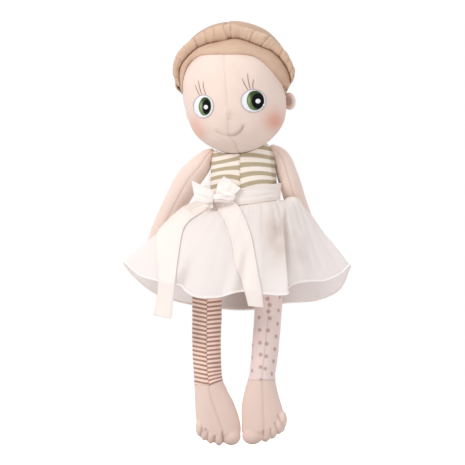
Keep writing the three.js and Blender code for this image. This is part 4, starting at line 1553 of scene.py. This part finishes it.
def leg_tube(leg, which):
    """Half of the patterned tube: the bag down to the ankle, right or left of the front seam."""
    place, length = bag(leg["stations"], HIP_DOME, TOE_DOME)
    bm = half_bag(place, length, LEG_ROUND, 0.75 if which == "right" else 0.25, columns=44, per_mm=1.3)
    cut_off(bm, leg["cuff"], leg["cuff_normal"][which])
    middle = leg["stations"][2][0]

    def stripe(point):
        from_seam = abs(point.x - middle)
        slope = 0.2 if which == "left" else 0.1 + 0.32 * smooth((66 - point.z) / 16)
        return (point.z - slope * from_seam + (0 if which == "left" else 1.7)) / LEG_STRIPE

    mark(bm, "stripe", stripe)
    if leg["slot"] == "leg_dots":
        mark(bm, "to_dot", lambda p: to_dot(p, leg["stations"]))
    painted_shade = bm.verts.layers.float["painted_shade"]
    for vert in bm.verts:
        cuff = (vert.co - Vector(leg["cuff"])).dot(-leg["cuff_normal"][which])
        # Painted shade in the fold at the cuff.
        vert[painted_shade] = min(1, vert[painted_shade] + 0.35 * bell(cuff, 0.7))
        middle_of_leg = Vector((middle, 0, vert.co.z))
        vert.co += (vert.co - middle_of_leg).normalized() * (0.35 * bell(cuff - 1.2, 1.4) - 0.3 * bell(cuff, 0.6))
    return face_out(bm, (leg["stations"][1][0], 0, 90))


def foot_cloth(leg):
    """The foot below the ankle in one skin, with its toes, the grooves between them and the seam."""
    place, length = bag(leg["stations"], HIP_DOME, TOE_DOME, lumps=0.2, seams=0)
    bm = whole_bag(place, length, 90)
    cut_off(bm, (0, 0, leg["ankle"] + 13), (0, 0, 1))
    bmesh.ops.holes_fill(bm, edges=[e for e in bm.edges if e.is_boundary], sides=0)
    for x, y, z, half in leg["toes"]:
        ball_at(bm, (x, y, z), (half, 6.6, 7.5))
    bm = fused(bm, 0.75)
    painted_shade = bm.verts.layers.float.new("painted_shade")
    for vert in bm.verts:
        px, py = pixel(vert.co)
        # Painted shade in the grooves between the toes, along the seam and in a stitch's dimple, weaker behind.
        groove = max(bell(distance_to([a, b], px, py), 0.85) for a, b in leg["grooves"])
        seam = bell(distance_to(leg["seam"], px, py), 1.0)
        stitch = bell(px - 205.5, 1.2) * bell(py - 429.2, 1.3)
        stitch = max(stitch, 0.5 * bell(distance_to([(202.6, 431.4), (205, 429.6)], px, py), 0.7))
        behind = 0.6 if vert.co.y > 0 else 1
        vert.co.y -= (1 if vert.co.y > 0 else -1) * behind * (1.15 * groove + 0.5 * seam)
        vert[painted_shade] = behind * min(1, 0.3 * groove + 0.26 * seam + 1.2 * stitch)
    return bm


def seam_plane(leg):
    """The plane along the foot's seam, as a point and the direction to its right."""
    (ax, az), (bx, bz) = seen(*leg["seam"][0]), seen(*leg["seam"][-1])
    along = Vector((bx - ax, 0, bz - az)).normalized()
    return (ax, 0, az), Vector((-along.z, 0, along.x))


for side, leg in LEGS.items():
    for which in ("right", "left"):
        name = f"leg_{side}_tube_{which}_half"
        made = keep(name + "_cloth", leg_tube(leg, which), leg["jersey"], f"leg_{side}", [name], leg["slot"], 0.75)
        print(made.name, len(made.data.vertices), "points")
    for which, half in zip(("right", "left"), sides(foot_cloth(leg), *seam_plane(leg))):
        cut_off(half, leg["cuff"], -leg["cuff_normal"][which])
        name = f"foot_{side}_{which}_half"
        made = keep(name + "_cloth", half, shaded_foot_jersey, f"leg_{side}", [name], "skin_jersey", 0.7)
        print(made.name, len(made.data.vertices), "points")
    thinner = [(x, y, z, wide - 1.6, deep - 1.6) for x, y, z, wide, deep in leg["stations"]]
    filling = whole_bag(*bag(thinner, 8, 2, seams=0), LEG_ROUND)
    keep(f"leg_{side}_filling", filling, fibre, f"leg_{side}", [f"leg_{side}_stuffing"], "stuffing_fibre")

# %% [markdown]
# ## Seat
# Under the skirt the body ends in a plain padded seat that the legs hang from: two panels of skin jersey,
# front and back. It is a bag that lies across the body.

# %% Seat
SEAT_FROM, SEAT_TO = -38.5, 33.5  # the seat's ends in mm, domes included
SEAT_DOME, SEAT_RADIUS, SEAT_HEIGHT = 8, 18.6, 165


def seat_panel(first):
    """Half of the seat's bag, from that share of a turn on."""
    long = SEAT_TO - SEAT_FROM

    def place(u, v):
        turn = 2 * pi * (first + u / 2)
        x = SEAT_FROM + long * v
        end = min(x - SEAT_FROM, SEAT_TO - x)
        narrow = sqrt(max(0, 1 - (1 - min(1, end / SEAT_DOME)) ** 2))
        radius = (SEAT_RADIUS - 0.4 * bell(sin(turn) * 18, 1.0)) * narrow
        return Vector((x, -radius * cos(turn), SEAT_HEIGHT + radius * sin(turn)))

    bm = wrapped(40, 60, place, (58, long))
    bmesh.ops.remove_doubles(bm, verts=bm.verts, dist=0.005)
    return face_out(bm, (-2.5, 0, SEAT_HEIGHT))


for name, first in (("seat_panel_front", -0.25), ("seat_panel_back", 0.25)):
    print(keep(name + "_cloth", seat_panel(first), limb_jersey, "hips", [name], "skin_jersey", 0.85).name)

# %% [markdown]
# ## Skirt
# The skirt is one flared cloth of gauze. Its waist is an ellipse under the sash and its hem a closed curve
# through measured points, so a point of the cloth lies between the two. Gathers run down from the sash and
# fade out. Three deep folds, two shallow ones and a few single bulges stand where the photograph shows them.
# The place round the skirt runs from 0 at its left end through 0.25 in front, and the way down from 0 to 1.

# %% Skirt shape
HEM = [
    (-96.5, -2, 151.5), (-84, -18, 141), (-66, -30, 136), (-52, -38, 133), (-38, -46, 124),
    (-20, -49, 123), (0, -50, 128), (18, -51, 126), (36.5, -50.5, 125.5), (41.5, -43, 133),
    (54, -34, 135.8), (70, -24, 136.5), (82, -13, 142), (88.5, -1, 148.5), (82, 8, 130),
    (62, 18, 120.5), (36, 23.5, 118), (6, 25, 112.5), (-24, 25, 114.5), (-52, 22, 119.5),
    (-74, 14, 128), (-90, 5, 143),
]
WAIST_X, WAIST_Z, WAIST_WIDE, WAIST_DEEP = 3, 198.5, 29.8, 21.8  # middle, half width and half depth in mm
SASH_TILT = radians(8)  # the waist sits higher at the right
# Each fold: its place round the skirt, width, depth in mm, how far down it starts, and how far it slants
FOLDS = [
    (0.386, 0.012, 4.2, 0.06, 0.062),
    (0.273, 0.012, 3.4, 0.35, 0.022),
    (0.142, 0.010, 3.6, 0.58, 0.022),
    (0.240, 0.014, 1.6, 0.2, 0.022),
    (0.33, 0.022, 1.8, 0.1, 0.022),
]
# Each bulge, or hollow: its depth in mm, its place and width round the skirt, then its place and width down it
BULGES = [
    (3.2, 0.452, 0.03, 0.14, 0.13),
    (3.6, 0.035, 0.04, 0.1, 0.1),
    (1.6, 0.352, 0.014, 0.3, 0.2),
    (-1.4, 0.325, 0.012, 0.28, 0.22),
]
# The same for where the cloth puffs up over the right hip
PUFFS = [(11, 0.52, 0.05, 0.19, 0.14), (5, 0.565, 0.05, 0.36, 0.14)]


def bulging(bulges, around, down):
    return sum(depth * bell(around - a, wide) * bell(down - d, high) for depth, a, wide, d, high in bulges)


def on_hem(around):
    step = (around % 1) * len(HEM)
    i, f = int(step), step - int(step)
    return curve_between(*(Vector(HEM[(i + k) % len(HEM)]) for k in (-1, 0, 1, 2)), f)


def skirt_point(around, down):
    """The point of the cloth at a place round the skirt and a share of the way down to the hem."""
    low = on_hem(around)
    angle = pi * (1 + 2 * around)
    waist_x = WAIST_WIDE * cos(angle)
    top = Vector((WAIST_X + waist_x, WAIST_DEEP * sin(angle), WAIST_Z + tan(SASH_TILT) * waist_x))
    spread, drop = max(0, down) ** 0.72, max(0, down) ** 1.12
    point = Vector((top.x + (low.x - top.x) * spread, top.y + (low.y - top.y) * spread, top.z + (low.z - top.z) * drop))
    out = Vector((low.x - WAIST_X, 1.5 * low.y, 0)).normalized()
    ring = Vector((cos(angle), sin(angle), 0))
    push = 1.1 * noise.noise(ring * 11 + Vector((0, 0, down))) * bell(down - 0.08, 0.3) * smooth(down / 0.06)
    push += 1.5 * noise.noise(ring * 3.8 + Vector((4, 0, down * 0.6))) * smooth(down / 0.35)
    push += 0.4 * noise.noise(ring * 9 + Vector((2, 7, down * 3))) * smooth(down / 0.2)
    for place, width, depth, start, slant in FOLDS:
        place += slant * (1 - down)
        reach = smooth((down - start) / 0.4)
        push += depth * reach * (0.45 * bell(around - place + 1.5 * width, width * 1.6) - bell(around - place, width))
    push += bulging(BULGES, around, down)
    puff = bulging(PUFFS, around, down)
    return point + out * push + Vector((0, 0, puff * smooth(down / 0.06)))


def fold_shade(around, down):
    """How much painted shade the deep folds get; their dark lines slant a little less than the cloth does."""
    dark = 0
    for place, width, _, start, slant in FOLDS[:3]:
        place += min(slant, 0.056) * (1 - down)
        dark += 0.5 * bell(around - place, width) * smooth((down - start) / 0.4)
    wander = 0.009 * noise.noise(Vector((7, down * 5, 1)))
    return dark + 0.34 * bell(around - 0.352 + wander, 0.02) * bell(down - 0.34, 0.2)


def hollow_shade(px, py):
    """Painted shade of two soft hollows at the right of the front, darker in patches."""
    lean = 0.1 * (py - 230)
    dark = 0.85 * bell(px - 276 - lean, 13) * bell(py - 238, 27)
    dark += 0.42 * bell(px - 300 - lean, 10) * bell(py - 254, 26)
    return dark * (0.85 + 0.7 * noise.noise(Vector((px / 9, 3, py / 13))))


def skirt_cloth():
    """The whole skirt, open at waist and hem, with painted shade in its folds, under the sash and above the hem, and
    its sheltered inside marked.
    """
    bm = wrapped(520, 84, lambda u, v: skirt_point(u, 1 - v), (460, 85))
    painted_shade = bm.verts.layers.float.new("painted_shade")
    for corner, (across, up) in corners(bm):
        around, down = across / 460, 1 - up / 85
        # Painted shade under the sash, in the folds and along the line above the rolled hem.
        dark = 0.25 * bell(down, 0.03) + fold_shade(around, down) + 0.12 * bell(down - 0.962, 0.006)
        if around < 0.6:
            dark += hollow_shade(*pixel(corner.vert.co))
        corner.vert[painted_shade] = min(1, dark)
    bmesh.ops.remove_doubles(bm, verts=bm.verts, dist=0.02)
    # The mask of the painted shade on the sheltered inner side.
    mark(bm, "sheltered", lambda p: bell(p.x - 8, 46) * smooth((p.y + 6) / 10))
    return face_out(bm, (3, 0, 170))


skirt_surface = skirt_cloth()
skirt_tree = BVHTree.FromBMesh(skirt_surface)
print("skirt area", round(sum(f.calc_area() for f in skirt_surface.faces) / 1e6, 4), "square metres")

# %% [markdown]
# Gauze lets some light through, so its material adds a Translucent BSDF to the woven cloth. The inner side
# gets painted shade where the legs and the body shelter it, and lets more light through where it lies open.

# %% Gauze


def see_light_through(material, share, colour):
    """Mixes light from behind into a cloth's own shader."""
    tree = material.node_tree
    shader = tree.nodes["Principled BSDF"]
    through = add(tree, "ShaderNodeBsdfTranslucent", {"Color": colour})
    both = add(tree, "ShaderNodeMixShader", {0: share, 1: shader.outputs[0], 2: through.outputs[0]})
    tree.links.new(both.outputs[0], tree.nodes["Material Output"].inputs["Surface"])


LIGHT_THROUGH = 0.22
GAUZE = {"structure": weave, "sheen": 0.12, "painted_shade": (0.72, 0.675, 0.63, 1), "Thread": 0.55}
skirt_gauze = cloth("skirt_gauze", shade_of(247, 241, 237), **GAUZE)
see_light_through(skirt_gauze, LIGHT_THROUGH, shade_of(250, 240, 236))


def darker_inside(material):
    """The inner side of the cloth gets painted shade where the legs and the body keep the light away."""
    tree = material.node_tree
    colour = tree.nodes["Principled BSDF"].inputs["Base Color"]
    was = colour.links[0].from_socket
    inner = maths(tree, "MULTIPLY", add(tree, "ShaderNodeNewGeometry").outputs["Backfacing"], marked(tree, "sheltered"))
    # Painted shade: the sheltered inner side is multiplied towards dark brown.
    tree.links.new(mixed(tree, inner, was, mixed(tree, 1.0, was, (0.36, 0.265, 0.2, 1), "MULTIPLY")), colour)
    open_side = maths(tree, "SUBTRACT", add(tree, "ShaderNodeNewGeometry").outputs["Backfacing"], inner)
    both = tree.nodes["Material Output"].inputs["Surface"].links[0].from_node
    tree.links.new(maths(tree, "MULTIPLY_ADD", open_side, 0.7, LIGHT_THROUGH), both.inputs[0])


darker_inside(skirt_gauze)
print("gauze ready")

# %% [markdown]
# The skirt hangs from the trunk and drapes over the hips, so it blends between the two bodies from the waist
# down. The line from start to end slopes backwards, so the back follows the hips further than the front, and
# a sitting doll has cloth over its thighs. The hem is rolled, which a thin cord along it shows.

# %% Skirt
DRAPE = ("torso", "hips", (0.006, 0.00205, 0.196), (0.006, 0.0197, 0.1265))
skirt = keep("skirt_cloth", skirt_surface, skirt_gauze, "torso", ["skirt"], "skirt_gauze", blend=DRAPE)
hem_line = [skirt_point(i / 400, 1.0) for i in range(400)]
hem_cloth = cloth("rolled_hem", shade_of(250, 244, 240), structure=weave, relief=0.1, sheen=0.15)
hem_cord = cord_along(hem_line, 0.75, closed=True)
hem_roll = keep("skirt_rolled_hem", hem_cord, hem_cloth, "torso", slot="skirt_gauze", blend=DRAPE)
print("skirt and hem made")

# %% [markdown]
# ## Sash
# The sash is a flat ribbon of cotton: a band round the waist, tied in a bow at the left. The band has a
# stitched edge and a few lengthwise wrinkles from being pulled tight.

# %% Sash band
SASH_WIDTH = 13.5  # mm


def stitched_edge(across, width):
    """How strongly a point gets painted shade in the groove of the stitched line inside a ribbon's edge, and at the
    edge itself.
    """
    return 0.22 * bell(min(across, width - across) - 1.3, 0.28) + 0.12 * bell(min(across, width - across), 0.35)


def mark_edges(bm, width, axis=0):
    """Paints shade along both stitched edges of a ribbon whose width runs along that axis of the flat cloth."""
    painted_shade = bm.verts.layers.float.new("painted_shade")
    for corner, flat in corners(bm):
        corner.vert[painted_shade] = stitched_edge(flat[axis], width)


def band_point(u, v):
    """The band round the waist, pulled tight; its upper edge stands out a little at the right end."""
    angle = 2 * pi * u
    ring = Vector((cos(angle), sin(angle), v * 2.2))
    pull = 0.45 * noise.noise(Vector((ring.x * 1.2, ring.y * 1.2, v * 5.5))) + 0.25 * noise.noise(ring * 3)
    edge = -0.25 * (2 * v - 1) ** 4 + 2.8 * v * v * bell(min(angle, 2 * pi - angle), 0.45)
    wide, deep = 29.9 + pull + edge, 21.8 + pull + edge
    local = Vector((wide * cos(angle), deep * sin(angle), SASH_WIDTH * v + 0.35 * noise.noise(ring * 2)))
    return Vector((3.2, 0, 199)) + Matrix.Rotation(-SASH_TILT, 3, "Y") @ local


band = wrapped(200, 22, band_point, (166, SASH_WIDTH))
mark_edges(band, SASH_WIDTH, axis=1)
bmesh.ops.remove_doubles(band, verts=band.verts, dist=0.02)
face_out(band, (3.2, 0, 205))
band_tree = BVHTree.FromBMesh(band)
sash = keep("sash_band_cloth", band, sash_cotton, "torso", ["sash_band"], "sash_cotton", thick=0.9)
print(sash.name)

# %% [markdown]
# Each hanging end of the ribbon is drawn between its left and its right edge in the photograph. A ray cast
# from the front finds how far forward the skirt or the band lies at every point, and the ribbon is laid
# just over it. Where that falls back faster than a ribbon can, and below the hem, the ribbon goes its own
# way down. Smoothing gives it some stiffness.

# %% Sash tails
TAILS = {
    "left": {
        "left": [
            (211, 197.5), (196, 201), (185, 205.5), (176, 212), (166, 221.5), (157.5, 232),
            (155.5, 245), (157.5, 262), (158.4, 280), (157, 297), (153.5, 314.8),
        ],
        "right": [
            (213.6, 207.6), (206.8, 210.2), (200.8, 213.4), (191, 219.6), (185, 226.5), (182.3, 234),
            (180.5, 244), (178.5, 258), (176.5, 274), (174.7, 290), (173.2, 304), (171.6, 318.6),
        ],
        "size": (15, 112),
        "clear": 1.0,
    },
    "right": {
        "left": [
            (213.6, 200.2), (217.0, 208), (223.4, 219), (228.4, 231), (231.6, 242),
            (235.9, 265.8), (240, 277), (243.6, 288), (248.2, 305.6),
        ],
        "right": [
            (231.5, 197), (240.5, 209), (245.6, 219.5), (249.7, 230.5), (252.6, 241.5),
            (256.4, 262), (258.6, 276), (261.2, 288), (263.5, 307),
        ],
        "size": (14, 92),
        "clear": 0.8,
    },
}


KNOT_DEPTH = -22.0  # mm; where the tails start
HANGS_BELOW = 150  # mm; from here down a tail may leave the cloth


def front_of_doll(x, z):
    """How far forward the skirt or the band lies behind a point of the photograph, or None beside them."""
    hits = [tree.ray_cast(Vector((x, -120, z)), Vector((0, 1, 0)))[0] for tree in (skirt_tree, band_tree)]
    return min((hit.y for hit in hits if hit), default=None)


def laid_ribbon(tail):
    """The ribbon between a tail's two edges, laid over what lies behind it."""
    columns, rows = 18, 150
    depth = []
    for r in range(rows + 1):
        left, right = (along_line(tail[edge], r / rows) for edge in ("left", "right"))
        row = [front_of_doll(*seen(*left.lerp(right, c / columns))) for c in range(columns + 1)]
        lying = [c for c, found in enumerate(row) if found is not None]
        for c in range(columns + 1):
            above = depth[-1][c] if depth else KNOT_DEPTH
            if row[c] is None and len(lying) > 5:
                near = min(lying, key=lambda other: abs(other - c))
                row[c] = row[near] + 0.4 * abs(near - c)
            hanging = seen(*left.lerp(right, c / columns))[1] < HANGS_BELOW
            if row[c] is None or (hanging and row[c] > above + 1.6):
                row[c] = above + 0.02
            elif row[c] > above + 3:
                row[c] = above + 2.6
        depth.append(row)
    for _ in range(12):
        for r in range(1, rows):
            for c in range(columns + 1):
                near = (depth[r - 1][c] + depth[r + 1][c] + depth[r][max(0, c - 1)] + depth[r][min(columns, c + 1)]) / 4
                depth[r][c] = min(depth[r][c], 0.5 * (depth[r][c] + near))

    def place(u, v):
        left, right = (along_line(tail[edge], v) for edge in ("left", "right"))
        x, z = seen(*left.lerp(right, u))
        ripple = 0.35 * noise.noise(Vector((u * 2.2, v * 7, 3)))
        y = depth[round(v * rows)][round(u * columns)] - tail["clear"] + ripple
        return Vector((x, min(y, KNOT_DEPTH - 0.8) if v < 0.04 else y, z))

    bm = wrapped(columns, rows, place, tail["size"])
    mark_edges(bm, tail["size"][0])
    return bm


for side, tail in TAILS.items():
    name, look = f"sash_tail_{side}", {"levels": 1, "thick": 0.5, "blend": DRAPE}
    made = keep(name + "_cloth", laid_ribbon(tail), sash_cotton, "torso", [name], "sash_cotton", **look)
    print(made.name)

# %% [markdown]
# The bow has a loop on each side of its knot. A loop is a ribbon that goes out in front and comes back
# behind, so its cloth runs from the knot to the fold and back again.

# %% Bow
LOOPS = {
    "left": {
        "upper": [(214.5, 191.0), (205, 187.0), (191.9, 180.4)],
        "lower": [(213, 203.2), (204, 202.6), (195.6, 200.6)],
        "size": (12, 44),
    },
    "right": {
        "upper": [(216.0, 194), (217.6, 184.6), (223.9, 176.2)],
        "lower": [(232.6, 197), (237.2, 192.6), (240.7, 188.0)],
        "size": (13, 30),
    },
}


def loop_wrinkle(u, out):
    return noise.noise(Vector((u * 5.5, out * 1.6, 1)))


def make_loop(loop):
    """A loop from the knot (out = 0) to its fold (out = 1) and back, with pleats that fade outwards."""

    def place(u, v):
        out = 1 - abs(2 * v - 1)
        upper, lower = along_line(loop["upper"], out), along_line(loop["lower"], out)
        x, z = seen(*upper.lerp(lower, u))
        apart = 1.0 * sqrt(max(0, 1 - out**6)) + 0.8 * sin(pi * min(1, out * 1.1)) * sin(pi * u)
        y = -24.3 + (apart if v > 0.5 else -apart)
        return Vector((x, y + 0.9 * loop_wrinkle(u, out) * (1 - 0.6 * out), z))

    wide, long = loop["size"]
    bm = wrapped(26, 64, place, loop["size"])
    painted_shade = bm.verts.layers.float.new("painted_shade")
    for corner, (across, along) in corners(bm):
        out = 1 - abs(2 * along / long - 1)
        pleat = max(0, loop_wrinkle(across / wide, out)) * (1 - out)
        # Painted shade along the stitched edges, in the pleats and next to the knot.
        corner.vert[painted_shade] = min(1, stitched_edge(across, wide) + 0.75 * pleat + 0.25 * bell(out, 0.16))
    return bm


for side, loop in LOOPS.items():
    name = f"bow_loop_{side}"
    made = keep(name + "_cloth", make_loop(loop), lit_bow_cotton, "torso", [name], "sash_cotton", levels=1, thick=0.4)
    print(made.name)


def tip_point(u, v):
    """The ribbon's pointed end, which stands up behind the left loop."""
    left = along_line([(203.0, 188.2), (204.6, 181.2), (208.9, 172.8)], v)
    right = along_line([(210.8, 189.6), (210.2, 181.5), (209.6, 172.6)], v)
    x, z = seen(*left.lerp(right, u))
    return Vector((x, -22.9 - 0.5 * sin(pi * u) - 0.4 * v, z))


tip_ribbon = wrapped(8, 24, tip_point, (5, 14))
tip = keep("bow_tip_cloth", tip_ribbon, lit_bow_cotton, "torso", ["bow_tip"], "sash_cotton", levels=1, thick=0.5)


def make_knot():
    """The ribbon pulled tight over itself: a flattened ball with diagonal wrinkles."""
    bm = unit_ball(64, 44)
    painted_shade = bm.verts.layers.float.new("painted_shade")
    for vert in bm.verts:
        n = vert.co.normalized()
        run = 0.9 * n.x - 0.35 * n.z
        wrinkle = noise.noise(Vector((run * 0.9 + 3, (n.z + 0.35 * n.x) * 4.2, n.y)))
        waist = 1 - 0.16 * bell(run + 0.1, 0.3)
        # Painted shade in the wrinkles of the knot.
        vert[painted_shade] = min(1, max(0, -wrinkle * 1.1))
        deep = 3.3 * n.y * (1 + 0.25 * wrinkle)
        high = (5.6 * n.z + 0.6 * n.x) * waist * (1 + 0.1 * wrinkle)
        vert.co = Vector((-14.0 + 9.8 * n.x, -24.0 + deep, 205.4 + high))
    map_front(bm)
    return bm


keep("bow_knot_cloth", make_knot(), lit_bow_cotton, "torso", ["bow_knot"], "sash_cotton", 0.3)
print("bow tied")

# %% [markdown]
# ## Floor
# The doll stands over a plain pale floor, which glows a little for the camera alone, so that it is as white
# as the background.

# %% Floor
FLOOR_HEIGHT = -0.0012  # metres; just below the toes
floor_mesh = bmesh.new()
bmesh.ops.create_grid(floor_mesh, x_segments=1, y_segments=1, size=3)
for corner in floor_mesh.verts:
    corner.co.z = FLOOR_HEIGHT
floor_data = bpy.data.meshes.new("floor")
floor_mesh.to_mesh(floor_data)
floor_mesh.free()
floor = bpy.data.objects.new("floor", floor_data)
bpy.context.scene.collection.objects.link(floor)
pale, pale_tree, pale_shader = new_material("pale_floor")
seen_directly = add(pale_tree, "ShaderNodeLightPath").outputs["Is Camera Ray"]
floor_colour = mixed(pale_tree, seen_directly, shade_of(214, 212, 213), shade_of(250, 250, 250))
pale_tree.links.new(floor_colour, pale_shader.inputs["Base Color"])
pale_tree.links.new(maths(pale_tree, "MULTIPLY", seen_directly, 0.66), pale_shader.inputs["Emission Strength"])
pale_shader.inputs["Emission Color"].default_value = (1, 1, 1, 1)
pale_shader.inputs["Roughness"].default_value = 0.9
floor_data.materials.append(pale)
print("floor laid")
